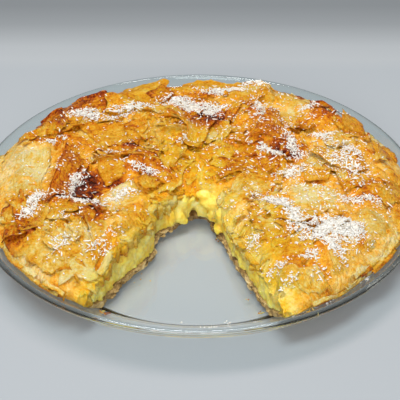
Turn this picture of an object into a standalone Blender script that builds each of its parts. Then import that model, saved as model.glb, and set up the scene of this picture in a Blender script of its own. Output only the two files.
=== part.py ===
"""Custard feteer: a filo and custard pie in its own clear glass dish, one wedge cut out.

The dish stands on z = 0 with its centre on the Z axis, and the wedge opens towards -Y.
Four solids lie in each other with a hair's gap: the dish, the bottom crust, the custard and
the crumpled filo lid, which wraps down over the custard's side and carries the coconut.
"""
import math

import bmesh
import bpy
import numpy as np
from mathutils import Vector
from mathutils.geometry import delaunay_2d_cdt

MM = 0.001
GAP = 0.3 * MM                      # between neighbouring solids
COLUMNS = 84                        # points round the pie, shared by its three layers
DRAWN_ASIDE = 0.05 * MM             # how far points that lie on each other are moved

# Glass dish
RIM_MIDDLE = (0.1370, 0.0237)       # centre of the rounded rim, as radius and height
RIM_EDGE = 1.8 * MM                 # radius of its rounding
FLOOR_TOP = 4 * MM                  # upper face of the dish's flat floor
DISH_STEPS = 60

# Pie
CRUST_TOP = 7.6 * MM                # the bottom crust is a shallow tray on the dish's floor
TRAY_EDGE = 13.1 * MM               # where the tray's side ends and the lid's begins
CUSTARD_TOP = 27.5 * MM             # level of the custard in the middle of the pie
CUSTARD_LEAST = 15.0 * MM           # its lowest level, at the rim beside the right cut
LID_TOP = 34.0 * MM                 # level of the crumpled lid in the middle of the pie
LID_SHOULDER = 25.5 * MM            # height of the lid where its top turns into its side
SHOULDER_INSET = 6 * MM
LID_EDGE = TRAY_EDGE + 0.4 * MM     # the lid's lower edge stands on the tray's side
LID_SKIRT = 120.4 * MM              # the lid's side is nowhere nearer to the centre than this
SHOULDER_ROUND = 20 * MM            # how far in from the shoulder the top starts to fall
LID_SPACING = 6.2 * MM              # between the points of the crumpled top
CUSTARD_SPACING = 14 * MM

# The lid's uneven outline at its widest, round the pie: angle from +X in degrees, radius in mm
OUTLINE = ((-180, -165, -154, -138, -125, -60, -45, -36, -20, 0, 9, 16, 22, 30, 40, 50, 60, 68,
            74, 80, 88, 95, 103, 111, 120, 130, 138, 150, 160, 170, 180),
           (130, 129.5, 127.5, 127.5, 125.5, 126.5, 126, 127, 129, 130.5, 131, 129.5, 128, 128.5,
            128, 126.5, 128.5, 130, 126.5, 125, 121.5, 119, 122, 127, 122.5, 126.5, 129.5, 130,
            131, 131, 130))

# Wedge: the two cuts meet at APEX and leave it at these angles from +X
APEX = np.array((2.0, 5.6)) * MM
LEFT_CUT = math.radians(-120.9)
RIGHT_CUT = math.radians(-70.4)
CUT_LENGTH = 160 * MM
CUT_STEP = 5.6 * MM                 # between the points of a ragged cut
CUT_WAVE = 0.7 * MM
CUT_ROUGHNESS = 0.7 * MM
CUT_LEVELS = np.array((1.0, 6.0, 9.0, 12.5, 16.0, 20.0, 24.0, 28.5, 34.0, 60.0)) * MM
LEFT_SAG = 3.0 * MM                 # how far the lid has sunk beside the left cut
RIGHT_SAG = 8.5 * MM                # and beside the right one
EDGE_ROLL = 4.0 * MM                # how far the layers roll down at the very edge of the cut
TIP = 28 * MM                       # from the cuts' meeting point to where its round end starts
CRUST_TIP = 22 * MM
CRUST_INSET = 0.4 * MM              # the bottom crust stands out into the gap by this
LID_INSETS = (-0.7 * MM, -0.3 * MM)  # and the lid has shrunk back from the left and right cut
LID_LEAST = 2.2 * MM                # the lid's least thickness over the custard, gap included
THINNED_REACH = 9 * MM              # how far in from the cuts the lid thins out to it

# How far each cut bends into the wedge along its length, from the cuts' meeting point (mm)
LEFT_BEND = ((0, 20, 29, 42, 50, 57, 66, 80, 92, 115),
             (0, -1.0, -2.7, -5.5, -4.5, 1.5, 2.0, 1.0, 0, 2.0))
RIGHT_BEND = ((0, 30, 40, 60, 88, 104, 115), (1.5, 1.2, 0, 1.0, 1.0, -1.0, -2.0))

# Lumps that stand out of the torn end of the custard, and hollows torn into it: x, y, z and
# three radii (mm)
CURDS = (
    (8, -12, 20, 8, 6, 5), (10, -15, 13, 6, 5, 5), (13, -22, 16, 3, 6, 6), (3, -11, 25, 5, 4, 3),
    (-10, -12, 20, 5, 5, 6), (-12, -17, 13, 4, 4, 5), (-4, -9, 21, 3, 4, 3), (-17, -21, 14, 3, 4, 6),
)
TORN_HOLLOWS = ((-3.5, -10, 8, 2.8, 6, 8), (-29, -40, 10, 4, 4, 3.5))

# Hills and hollows of the lid: x, y, heading in degrees, half length, half width, height (mm)
LID_FORMS = (
    (-85, -8, 84, 32, 6, 4.5),      # long folded sheet on the left
    (-98, -16, 82, 26, 8, -3.0),    # smooth valley outside it
    (-70, -17, 10, 12, 6, -7.0),    # browned hollow
    (-55, 1, -6, 14, 5, 4.0),       # arched curl
    (-54, -8, -6, 9, 3, -5.0),      # shadow under the curl
    (-41, 38, 79, 18, 4, -4.5),     # crease at the back left
    (-34, 13, 20, 13, 9, 3.5),
    (4, 68, -24, 14, 6, -5.0),      # browned hollow at the back
    (0, 40, 50, 9, 4, -3.0),
    (57, 26, -22, 11, 5, -5.0),     # browned hollow on the right
    (46, 47, 62, 16, 6, 4.5),       # pointed flap at the back right
    (72, -9, -24, 14, 3, -3.0),
    (74, -4, -24, 18, 5, 2.5),
    (104, -24, -20, 14, 4, -3.5),
    (84, 66, -12, 16, 5, 3.5),
    (101, 53, 10, 10, 3, -4.0),
    (-95, 58, 58, 36, 8, 3.5),      # folded layers along the back left
    (-104, 46, 62, 22, 3, -4.5),
    (-66, 62, 12, 26, 6, -2.0),
    (-30, 88, -8, 30, 9, 2.5),
    (30, 92, -12, 26, 8, 2.5),
    (-60, -62, 40, 26, 14, 2.0),
    (-34, -46, 55, 26, 8, 3.0),     # swollen lip over the left cut
    (-54, -86, 10, 10, 5, -3.5),
    (-104, -50, 60, 16, 5, -3.0),
    (40, -62, 70, 20, 8, 2.5),
    (70, -66, 20, 22, 14, 1.6),     # the large heap of coconut
    (62, -100, 4, 16, 5, 2.2),
)

# Torn sheets that stand proud: x, y, heading of the long side in degrees, length, width across,
# lift of the free edge (mm). The free edge is on the left of the heading.
SHEETS = (
    (-85, -6, -94, 64, -15, 5.5),
    (-60, 2, -8, 30, -9, 4.5),
    (-44, 44, 64, 34, 9, 3.5),
    (-106, 50, 54, 46, 10, 4.5),
    (-93, 72, 46, 36, 9, 5.0),
    (-113, 30, 74, 26, 8, 3.5),
    (-66, 90, 30, 40, 9, 4.0),
    (-40, 104, 14, 38, 7, 3.0),
    (46, 50, 118, 30, -11, 6.0),
    (101, 56, -2, 17, 4, 9.0),
    (84, 72, -14, 26, 5, 4.0),
    (64, -98, 2, 27, -9, -2.0),
    (78, -10, -24, 32, -8, 3.0),
    (104, -20, -34, 26, -8, 3.0),
    (-24, 14, 16, 26, 9, 3.5),
    (4, 76, -30, 28, 7, 4.0),
    (-58, -74, 22, 34, -10, 2.5),
    (-86, -62, 48, 38, 9, 3.0),
    (38, 96, -18, 40, 8, 3.0),
    (18, 20, 35, 26, 8, 3.0),
    (58, 22, 150, 24, 8, 3.0),
    (-22, 52, -20, 28, 8, 3.5),
    (98, 12, 100, 28, -8, 3.5),
    (30, -20, -64, 26, 7, 2.5),
)
SHEET_THICKNESS = 1.1 * MM

# Heaps of shredded coconut: x, y, heading, half length, half width (mm), share of the shreds
COCONUT_HEAPS = (
    (76, -64, 15, 15, 12, 16), (52, -48, -42, 16, 5, 8), (-63, 66, 10, 20, 4, 9),
    (-12, 80, -14, 13, 4, 9), (14, 88, -5, 12, 3, 6), (-99, -31, 75, 9, 5, 5),
    (-68, -24, 55, 16, 8, 9), (-32, -18, -40, 7, 3, 3), (58, 20, -65, 28, 8, 9),
    (89, 0, -80, 24, 9, 9), (64, -85, 0, 9, 4, 4), (0, 0, 0, 90, 90, 14),
)
SHREDS = 56
SHRED_LENGTH = (2.2 * MM, 3.8 * MM)
SHRED_WIDTH = 1.0 * MM


def swell(x, y, wavelength, seed):
    """Rolling ground from about -1 to 1: sine waves in drawn directions."""
    rng = np.random.default_rng(seed)
    total = np.zeros_like(x, dtype=float)
    for _ in range(6):
        heading, phase = rng.uniform(0, 2 * math.pi, 2)
        pitch = 2 * math.pi / wavelength * rng.uniform(0.7, 1.3)
        total += np.sin(pitch * (x * math.cos(heading) + y * math.sin(heading)) + phase)
    return total / 3


def crumple(x, y, cell, seed):
    """Crumpled paper from -1 to 1: flat triangles between corners of drawn height."""
    x = x + 0.35 * cell * swell(x, y, 4 * cell, seed + 1)
    y = y + 0.35 * cell * swell(x, y, 4 * cell, seed + 2)
    row = y / (cell * math.sqrt(0.75))
    column = x / cell - 0.5 * row
    i, j = np.floor(column).astype(int), np.floor(row).astype(int)
    u, v = column - i, row - j
    far = (u + v > 1).astype(int)
    heights = np.random.default_rng(seed).uniform(-1, 1, (64, 64))
    first = heights[(i + far) % 64, (j + far) % 64]
    second = heights[(i + 1) % 64, j % 64]
    third = heights[i % 64, (j + 1) % 64]
    share = np.where(far == 1, u + v - 1, 1 - u - v)
    along = np.where(far == 1, 1 - v, u)
    return share * first + along * second + (1 - share - along) * third


def ease(t):
    """0 to 1 with level ends."""
    t = np.clip(t, 0, 1)
    return t * t * (3 - 2 * t)


def pie_radius(angle):
    """The lid's uneven outline where it is widest, about 21 mm above the table."""
    x, y = 0.12 * np.cos(angle), 0.12 * np.sin(angle)
    return np.interp(np.degrees(angle), *OUTLINE, period=360) * MM + 0.9 * MM * crumple(x, y, 0.017, 8)


def bend_of(along, side):
    """How far the left (-1) or right (1) cut bends into the wedge at a distance along it."""
    return np.interp(along / MM, *(LEFT_BEND if side < 0 else RIGHT_BEND)) * MM


def across_cut(x, y, cut, side):
    """Distance into the pie from a cut, measured at right angles to it."""
    along = (x - APEX[0]) * math.cos(cut) + (y - APEX[1]) * math.sin(cut)
    straight = side * ((x - APEX[0]) * math.sin(cut) - (y - APEX[1]) * math.cos(cut))
    return straight + bend_of(along, -side)


def wedge_depth(x, y, tip):
    """Distance into the cut wedge, rounded at its tip; negative inside the pie."""
    half = 0.5 * (RIGHT_CUT - LEFT_CUT)
    middle = 0.5 * (LEFT_CUT + RIGHT_CUT)
    left, right = -across_cut(x, y, LEFT_CUT, 1.0), -across_cut(x, y, RIGHT_CUT, -1.0)
    reach = (x - APEX[0]) * math.cos(middle) + (y - APEX[1]) * math.sin(middle)
    aside = (x - APEX[0]) * math.sin(middle) - (y - APEX[1]) * math.cos(middle)
    centre = tip / math.cos(half)
    rounded = tip * math.tan(half) - np.hypot(reach - centre, aside)
    behind = reach < centre - np.abs(aside) * math.tan(half)
    return np.where(behind, rounded, np.minimum(left, right))


def sag(x, y):
    """How far the lid has sunk beside the cuts, and how far the custard under it has."""
    front = ease((0.02 - y) / 0.03)
    left = across_cut(x, y, LEFT_CUT, 1.0)
    right = across_cut(x, y, RIGHT_CUT, -1.0)
    outwards = ease((np.hypot(x, y) - 0.050) / 0.045)
    left = LEFT_SAG * ease(1 - np.abs(left) / 0.020) * front
    right = (RIGHT_SAG - 4.5 * MM * outwards) * ease(1 - np.abs(right) / 0.026) * front
    rolled = EDGE_ROLL * np.clip(1 + wedge_depth(x, y, 0.030) / 0.009, 0, 1.3) ** 2
    return left + right + rolled, 0.3 * left + right + 0.6 * rolled


def form_height(x, y):
    """The named hills and hollows of the lid."""
    total = np.zeros_like(x, dtype=float)
    for cx, cy, heading, half_length, half_width, height in LID_FORMS:
        c, s = math.cos(math.radians(heading)), math.sin(math.radians(heading))
        dx, dy = x - cx * MM, y - cy * MM
        along = (dx * c + dy * s) / (half_length * MM)
        across = (dy * c - dx * s) / (half_width * MM)
        total += height * MM * np.exp(-0.5 * (along ** 4 + across ** 2))
    return total


def custard_height(x, y):
    """Top of the custard, which falls towards the rim and the cuts."""
    inward = np.clip((0.112 - np.hypot(x, y)) / 0.03, 0, 1)
    level = CUSTARD_TOP - 5.5 * MM * (1 - inward) ** 2
    level = level + 1.6 * MM * swell(x, y, 0.075, 21) * inward
    return np.maximum(level - sag(x, y)[1], CUSTARD_LEAST)


def lid_height(x, y):
    """Top of the crumpled filo lid, without its torn sheets."""
    radius = np.hypot(x, y)
    shoulder = pie_radius(np.arctan2(y, x)) - SHOULDER_INSET
    inward = np.clip((shoulder - radius) / SHOULDER_ROUND, 0, 1)
    dome = 1 - (1 - inward) ** 2.2
    level = LID_SHOULDER + (LID_TOP - LID_SHOULDER) * dome - sag(x, y)[0]
    rough = 1.3 * MM * swell(x, y, 0.06, 31) + 3.3 * MM * crumple(x, y, 0.025, 41)
    rough = rough + 2.4 * MM * crumple(x, y, 0.0125, 51)
    wanted = level + rough * (0.35 + 0.65 * dome) + form_height(x, y) * (0.4 + 0.6 * dome)
    least = custard_height(x, y) + LID_LEAST
    depth = wedge_depth(x, y, TIP) - np.where(x > 0, LID_INSETS[1], LID_INSETS[0])
    thinned = np.where(x > 0, 0.85, 0.5) * ease(1 + depth / THINNED_REACH)
    thinned = thinned * ease((0.118 - radius) / 0.012)
    return np.maximum(wanted + thinned * (least - wanted), least)


def ring(radius, z):
    """One point for each column round the Z axis."""
    angle = np.linspace(0, 2 * math.pi, COLUMNS, endpoint=False)
    height = np.broadcast_to(z, angle.shape)
    return np.column_stack((radius * np.cos(angle), radius * np.sin(angle), height))


def scatter_inside(edge, spacing, height, seed):
    """Jittered points inside a ring, set on the height that a function gives."""
    rng = np.random.default_rng(seed)
    reach = np.hypot(edge[:, 0], edge[:, 1]).max()
    step = spacing * math.sqrt(0.75)
    rows = int(reach / step) + 1
    points = []
    for j in range(-rows, rows + 1):
        for i in range(-rows - 2, rows + 3):
            points.append(((i + 0.5 * (j % 2)) * spacing, j * step))
    points = np.array(points) + rng.uniform(-0.3, 0.3, (len(points), 2)) * spacing
    angle = np.arctan2(points[:, 1], points[:, 0]) % (2 * math.pi)
    turns = np.linspace(0, 2 * math.pi, len(edge) + 1)
    edge_radius = np.hypot(edge[:, 0], edge[:, 1])
    limit = np.interp(angle, turns, np.append(edge_radius, edge_radius[0]))
    points = points[np.hypot(points[:, 0], points[:, 1]) < limit - 0.55 * spacing]
    z = height(points[:, 0], points[:, 1])
    return np.column_stack((points, z))


def fill_face(bm, edge_verts, inner, upwards):
    """Triangulate the face that a ring bounds, with its inner points."""
    verts = list(edge_verts) + [bm.verts.new(p) for p in inner]
    flat = [v.co.to_2d() for v in verts]
    count = len(edge_verts)
    edges = [(i, (i + 1) % count) for i in range(count)]
    result = delaunay_2d_cdt(flat, edges, [], 1, 1e-7)
    source = [origins[0] for origins in result[3]]
    for triangle in result[2]:
        corners = [verts[source[k]] for k in triangle]
        bm.faces.new(corners if upwards else corners[::-1])


def layer_solid(name, rings, top_inner, bottom_inner, inner_bands=0):
    """A closed solid from the rings of its side, top to bottom, and the points on its two faces.
    The last inner_bands of its side line a hollow, and are split like the side that fills it."""
    bm = bmesh.new()
    rows = [[bm.verts.new(p) for p in points] for points in rings]
    for band, (upper, lower) in enumerate(zip(rows, rows[1:])):
        for k in range(COLUMNS):
            n = (k + 1) % COLUMNS
            if band < len(rows) - 1 - inner_bands:
                bm.faces.new((upper[k], lower[k], lower[n]))
                bm.faces.new((upper[k], lower[n], upper[n]))
            else:
                bm.faces.new((upper[k], lower[k], upper[n]))
                bm.faces.new((lower[k], lower[n], upper[n]))
    fill_face(bm, rows[0], top_inner, True)
    fill_face(bm, rows[-1], bottom_inner, False)
    return finish_object(name, bm)


def finish_object(name, bm):
    """Turn a bmesh into a scene object with its faces pointing out."""
    bmesh.ops.recalc_face_normals(bm, faces=bm.faces)
    mesh = bpy.data.meshes.new(name)
    bm.to_mesh(mesh)
    bm.free()
    obj = bpy.data.objects.new(name, mesh)
    bpy.context.scene.collection.objects.link(obj)
    return obj


def surface(obj, colour, roughness, smooth_angle, transmission=0.0, metallic=0.0):
    """Give an object its material and its shading."""
    material = bpy.data.materials.new(obj.name)
    material.use_nodes = True
    shader = material.node_tree.nodes["Principled BSDF"]
    shader.inputs["Base Color"].default_value = (*colour, 1)
    shader.inputs["Roughness"].default_value = roughness
    shader.inputs["Metallic"].default_value = metallic
    shader.inputs["Transmission Weight"].default_value = transmission
    obj.data.materials.clear()
    obj.data.materials.append(material)
    obj.data.shade_smooth()
    obj.data.set_sharp_from_angle(angle=math.radians(smooth_angle))


def dish_profile():
    """Half section of the dish as (radius, height), from the underside round to the floor."""
    points = [(0, 0), (0.1050, 0), (0.1085, 0.0008), (0.1120, 0.0030), (0.1339, 0.0175)]
    for turn in np.radians((-42, 3, 48, 93, 138)):
        points.append((RIM_MIDDLE[0] + RIM_EDGE * math.cos(turn),
                       RIM_MIDDLE[1] + RIM_EDGE * math.sin(turn)))
    points += [(0.1315, 0.0201), (0.1112, 0.0047), (0.1088, FLOOR_TOP), (0, FLOOR_TOP)]
    return points


def build_dish():
    """The clear pie dish: its section spun about the Z axis."""
    bm = bmesh.new()
    verts = [bm.verts.new((radius, 0, z)) for radius, z in dish_profile()]
    edges = [bm.edges.new(pair) for pair in zip(verts, verts[1:])]
    bmesh.ops.spin(bm, geom=verts + edges, cent=(0, 0, 0), axis=(0, 0, 1),
                   angle=2 * math.pi, steps=DISH_STEPS, use_merge=True)
    bmesh.ops.remove_doubles(bm, verts=bm.verts, dist=1e-6)
    dish = finish_object("glass_dish", bm)
    surface(dish, (0.86, 0.93, 0.92), 0.03, 40, transmission=1.0)


def wedge_cutter(name, insets, tip, seed):
    """The removed slice, with ragged walls and a rounded end. The insets narrow it at the left
    and at the right cut, and tip is where its end meets the cuts."""
    rng = np.random.default_rng(seed)
    middle, half = 0.5 * (LEFT_CUT + RIGHT_CUT), 0.5 * (RIGHT_CUT - LEFT_CUT)
    centre = APEX + tip / math.cos(half) * np.array((math.cos(middle), math.sin(middle)))
    bend = tip * math.tan(half) - 0.5 * sum(insets)
    sweep = np.linspace(LEFT_CUT - math.pi / 2, RIGHT_CUT + math.pi / 2 - 2 * math.pi, 9)[1:-1]
    along = np.append(np.arange(tip, 0.128, CUT_STEP), CUT_LENGTH)
    bm = bmesh.new()
    loops = []
    for z in CUT_LEVELS:
        walls = []
        for cut, side, inset in ((LEFT_CUT, -1.0, insets[0]), (RIGHT_CUT, 1.0, insets[1])):
            direction = np.array((math.cos(cut), math.sin(cut)))
            normal = side * np.array((-math.sin(cut), math.cos(cut)))
            shift = inset + bend_of(along, side) + CUT_WAVE * np.sin(along / 0.0085 + side)
            shift = shift + rng.uniform(-1, 1, along.size) * CUT_ROUGHNESS
            walls.append(APEX + np.outer(along, direction) - np.outer(shift, normal))
        push = bend * (1 + rng.uniform(-0.09, 0.09, sweep.size))
        end = centre + (push * np.array((np.cos(sweep), np.sin(sweep)))).T
        plan = np.vstack((walls[0][::-1], end, walls[1]))
        loops.append([bm.verts.new((x, y, z)) for x, y in plan])
    count = len(loops[0])
    for lower, upper in zip(loops, loops[1:]):
        for k in range(count):
            n = (k + 1) % count
            bm.faces.new((lower[k], lower[n], upper[n], upper[k]))
    bm.faces.new(loops[0][::-1])
    bm.faces.new(loops[-1])
    bmesh.ops.triangulate(bm, faces=bm.faces)
    cutter = finish_object(name, bm)
    cutter.hide_render = True
    return cutter


def lump(name, place, more=0.0):
    """A rough ellipsoid: its centre and radii in millimetres, the radii longer by more."""
    bm = bmesh.new()
    bmesh.ops.create_icosphere(bm, subdivisions=1, radius=1.0)
    bmesh.ops.scale(bm, vec=np.array(place[3:]) * MM + more, verts=bm.verts)
    bmesh.ops.translate(bm, vec=np.array(place[:3]) * MM, verts=bm.verts)
    return finish_object(name, bm)


def cut(obj, cutter):
    """Take a cutter out of an object."""
    modifier = obj.modifiers.new(cutter.name, "BOOLEAN")
    modifier.operation = "DIFFERENCE"
    modifier.solver = "MANIFOLD"
    modifier.object = cutter


def apply_modifiers(obj):
    """Make the modified shape the object's own mesh."""
    graph = bpy.context.evaluated_depsgraph_get()
    mesh = bpy.data.meshes.new_from_object(obj.evaluated_get(graph))
    obj.modifiers.clear()
    obj.data = mesh


def keep_largest(obj):
    """Drop loose scraps and fill the hollows that fusing has sealed. Where two points are left
    at one place, so that the surface would touch itself, each is drawn to its own neighbours."""
    bm = bmesh.new()
    bm.from_mesh(obj.data)
    shared = {}
    for vert in bm.verts:
        shared.setdefault(vert.co.copy().freeze(), []).append(vert)
    for verts in shared.values():
        if len(verts) > 1:
            for vert in verts:
                vert.co += DRAWN_ASIDE * sum((edge.other_vert(vert).co - vert.co
                                              for edge in vert.link_edges), Vector()).normalized()
    seen = set()
    bodies = []
    for start in bm.faces:
        if start in seen:
            continue
        seen.add(start)
        body = [start]
        for face in body:
            for edge in face.edges:
                for other in edge.link_faces:
                    if other not in seen:
                        seen.add(other)
                        body.append(other)
        bodies.append(body)
    bodies.sort(key=len)
    scraps = [face for body in bodies[:-1] for face in body]
    bmesh.ops.delete(bm, geom=scraps, context="FACES")
    bm.to_mesh(obj.data)
    bm.free()


def build_crust():
    """The bottom crust: a thin flat floor with a low side against the glass."""
    rings = [ring(0.1060, CRUST_TOP), ring(0.1170, TRAY_EDGE), ring(0.1213, TRAY_EDGE),
             ring(0.1098, 0.0050), ring(0.1086, FLOOR_TOP + GAP)]
    crust = layer_solid("pastry_base", rings, [], [])
    cut(crust, wedge_cutter("crust_cutter", (CRUST_INSET, CRUST_INSET), CRUST_TIP, 71))
    apply_modifiers(crust)
    keep_largest(crust)
    surface(crust, (0.47, 0.27, 0.10), 0.6, 30)


def custard_sides():
    """The rings of the custard's side, top to bottom, and the points on its top."""
    edge = ring(0.1120, 0)
    edge[:, 2] = custard_height(edge[:, 0], edge[:, 1])
    middle = LID_EDGE + 0.5 * (edge[:, 2] - LID_EDGE)
    rings = [edge, ring(0.1172, middle), ring(0.1167, LID_EDGE),
             ring(0.1057, CRUST_TOP + GAP)]
    return rings, scatter_inside(edge, CUSTARD_SPACING, custard_height, 81)


def build_custard():
    """The custard: one thick layer that shows at both cuts."""
    rings, top = custard_sides()
    custard = layer_solid("custard", rings, top, [])
    cut(custard, wedge_cutter("custard_cutter", (0, 0), TIP, 91))
    apply_modifiers(custard)
    fuse(custard, [lump(f"curd_{k}", place) for k, place in enumerate(CURDS)])
    for number, place in enumerate(TORN_HOLLOWS):
        hollow = lump(f"hollow_{number}", place)
        hollow.hide_render = True
        cut(custard, hollow)
    apply_modifiers(custard)
    keep_largest(custard)
    surface(custard, (0.86, 0.62, 0.12), 0.4, 30)


def dish_wall(z):
    """How far out a solid may reach at a height before it touches the dish's leaning wall."""
    return 0.1112 + (z - 0.0047) * (0.0203 / 0.0154) - 0.8 * MM


def side_ring(outline, shoulder, inset, share, seed):
    """A ring on the lid's outer side, where folded sheets make it uneven. share is its height
    between the lid's lower edge and its shoulder."""
    rng = np.random.default_rng(seed)
    radius = outline - inset + rng.uniform(-0.9, 0.9, COLUMNS) * MM
    share = share + rng.uniform(-0.06, 0.06, COLUMNS)
    z = LID_EDGE + (shoulder[:, 2] - LID_EDGE) * share
    return ring(np.clip(radius, LID_SKIRT, dish_wall(z)), z)


def torn_sheet(number, x, y, heading, length, width, lift):
    """A thin sheet rooted in the lid along one edge, its other edge free."""
    rng = np.random.default_rng(400 + number)
    c, s = math.cos(math.radians(heading)), math.sin(math.radians(heading))
    along = np.linspace(-0.5, 0.5, max(4, int(length / 8) + 1))
    across = np.array((0, 0.4, 1))
    u, v = np.meshgrid(along, across, indexing="ij")
    ragged = rng.uniform(0.75, 1.15, along.size)
    taper = 1 - (np.abs(2 * u) ** 3) * 0.45 * v
    reach = width * (v - 0.35) * np.where(v > 0.5, ragged[:, None], 1)
    px = (x + u * length * taper * c - reach * s) * MM
    py = (y + u * length * taper * s + reach * c) * MM
    arch = 1 - 0.5 * (2 * u) ** 2
    top = lid_height(px, py) + (lift * v ** 1.5 * arch + 0.5 - 2.6 * (1 - v) ** 3) * MM
    top = np.maximum(top, custard_height(px, py) + SHEET_THICKNESS + 1.3 * MM)
    bm = bmesh.new()
    grids = []
    for drop in (0, SHEET_THICKNESS):
        grids.append([[bm.verts.new((px[i, j], py[i, j], top[i, j] - drop))
                       for j in range(across.size)] for i in range(along.size)])
    for grid, turned in zip(grids, (False, True)):
        for i in range(along.size - 1):
            for j in range(across.size - 1):
                corners = (grid[i][j], grid[i + 1][j], grid[i + 1][j + 1], grid[i][j + 1])
                bm.faces.new(corners[::-1] if turned else corners)
    border = [(i, 0) for i in range(along.size)]
    border += [(along.size - 1, j) for j in range(1, across.size)]
    border += [(i, across.size - 1) for i in range(along.size - 2, -1, -1)]
    border += [(0, j) for j in range(across.size - 2, 0, -1)]
    for (i, j), (k, m) in zip(border, border[1:] + border[:1]):
        bm.faces.new((grids[0][i][j], grids[1][i][j], grids[1][k][m], grids[0][k][m]))
    bmesh.ops.triangulate(bm, faces=bm.faces)
    return finish_object(f"sheet_{number}", bm)


def coconut_places():
    """Where the shreds of coconut lie: drawn in each heap, clear of the rim and the cuts."""
    rng = np.random.default_rng(600)
    shares = np.array([heap[5] for heap in COCONUT_HEAPS], dtype=float)
    counts = np.round(SHREDS * shares / shares.sum()).astype(int)
    places = []
    for (cx, cy, heading, half_length, half_width, _), count in zip(COCONUT_HEAPS, counts):
        c, s = math.cos(math.radians(heading)), math.sin(math.radians(heading))
        while count:
            along, across = np.clip(rng.normal(0, 0.55, 2), -1.1, 1.1) * (half_length, half_width)
            x, y = (cx + along * c - across * s) * MM, (cy + along * s + across * c) * MM
            clear = max(across_cut(x, y, LEFT_CUT, 1.0), across_cut(x, y, RIGHT_CUT, -1.0))
            crowded = any(math.hypot(x - p[0], y - p[1]) < 2.6 * MM for p in places)
            if math.hypot(x, y) < 0.108 and (y > 0.004 or clear > 0.007) and not crowded:
                places.append((x, y))
                count -= 1
    return places


def coconut_shred(number, x, y):
    """A short flat strip of coconut, half sunk in what it lies on."""
    rng = np.random.default_rng(700 + number)
    length = rng.uniform(*SHRED_LENGTH)
    bm = bmesh.new()
    bmesh.ops.create_cube(bm, size=1.0)
    bmesh.ops.scale(bm, vec=(length, SHRED_WIDTH, 1.5 * MM), verts=bm.verts)
    shred = finish_object(f"shred_{number}", bm)
    z = float(lid_height(np.array([x]), np.array([y]))[0])
    turn = rng.uniform(0, 2 * math.pi)
    ahead = np.array((math.cos(turn), math.sin(turn))) * 0.5 * length
    ends = lid_height(np.array((x - ahead[0], x + ahead[0])), np.array((y - ahead[1], y + ahead[1])))
    slope = math.atan2(ends[1] - ends[0], length)
    shred.rotation_euler = (0, -slope, turn)
    shred.location = (x, y, z + 0.1 * MM)
    return shred


def fuse(obj, pieces):
    """Join small pieces to an object with one union, and remove them."""
    group = bpy.data.collections.new(obj.name + "_pieces")
    bpy.context.scene.collection.children.link(group)
    for piece in pieces:
        bpy.context.scene.collection.objects.unlink(piece)
        group.objects.link(piece)
    modifier = obj.modifiers.new("pieces", "BOOLEAN")
    modifier.operation = "UNION"
    modifier.solver = "MANIFOLD"
    modifier.operand_type = "COLLECTION"
    modifier.collection = group
    apply_modifiers(obj)
    for piece in pieces:
        bpy.data.objects.remove(piece, do_unlink=True)
    bpy.data.collections.remove(group)
    keep_largest(obj)


def build_lid():
    """The crumpled filo lid, wrapped down over the custard's side, with sheets and coconut."""
    angle = np.linspace(0, 2 * math.pi, COLUMNS, endpoint=False)
    outline = pie_radius(angle)
    shoulder = ring(outline - SHOULDER_INSET, 0)
    shoulder[:, 2] = lid_height(shoulder[:, 0], shoulder[:, 1])
    custard_rings, custard_top = custard_sides()
    under_edge = custard_rings[0] + (0, 0, GAP)
    rings = [shoulder,
             side_ring(outline, shoulder, 1.8 * MM, 0.82, 12),
             side_ring(outline, shoulder, 0.0, 0.55, 13),
             side_ring(outline, shoulder, 1.8 * MM, 0.27, 14),
             ring(0.1215, LID_EDGE),
             ring(0.1176, LID_EDGE),
             ring(0.1177, custard_rings[1][:, 2] + GAP),
             under_edge]
    top = scatter_inside(shoulder, LID_SPACING, lid_height, 61)
    under = custard_top + (0, 0, GAP)
    lid = layer_solid("pastry_top", rings, top, under, inner_bands=2)
    pieces = [torn_sheet(number, *sheet) for number, sheet in enumerate(SHEETS)]
    pieces += [coconut_shred(number, *place) for number, place in enumerate(coconut_places())]
    fuse(lid, pieces)
    for number, place in enumerate(CURDS):
        bulge = lump(f"bulge_{number}", place, GAP)
        bulge.hide_render = True
        cut(lid, bulge)
    cut(lid, wedge_cutter("lid_cutter", LID_INSETS, TIP, 95))
    apply_modifiers(lid)
    keep_largest(lid)
    surface(lid, (0.84, 0.52, 0.17), 0.45, 30)


for old in list(bpy.data.objects):
    bpy.data.objects.remove(old, do_unlink=True)
build_dish()
build_crust()
build_custard()
build_lid()
for cutter in [obj for obj in bpy.data.objects if obj.hide_render]:
    bpy.data.objects.remove(cutter, do_unlink=True)
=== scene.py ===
"""The look of a custard feteer in its glass pie dish, with one wedge cut out."""
import math

import bpy
import numpy as np
from mathutils.bvhtree import BVHTree
from mathutils.geometry import delaunay_2d_cdt
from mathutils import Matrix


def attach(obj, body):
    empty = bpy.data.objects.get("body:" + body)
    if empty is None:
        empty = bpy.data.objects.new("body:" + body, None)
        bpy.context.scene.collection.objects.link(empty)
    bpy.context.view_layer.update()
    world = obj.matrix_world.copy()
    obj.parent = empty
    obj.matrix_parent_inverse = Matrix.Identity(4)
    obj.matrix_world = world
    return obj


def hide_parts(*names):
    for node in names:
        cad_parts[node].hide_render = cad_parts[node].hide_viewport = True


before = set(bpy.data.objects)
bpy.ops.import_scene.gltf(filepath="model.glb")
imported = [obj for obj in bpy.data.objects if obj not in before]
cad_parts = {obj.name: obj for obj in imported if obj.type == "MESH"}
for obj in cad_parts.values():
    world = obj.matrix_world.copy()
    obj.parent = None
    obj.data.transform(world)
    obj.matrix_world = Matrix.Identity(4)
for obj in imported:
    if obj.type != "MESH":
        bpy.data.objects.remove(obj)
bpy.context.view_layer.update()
bpy.ops.object.select_all(action="DESELECT")
MM = 0.001

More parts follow.
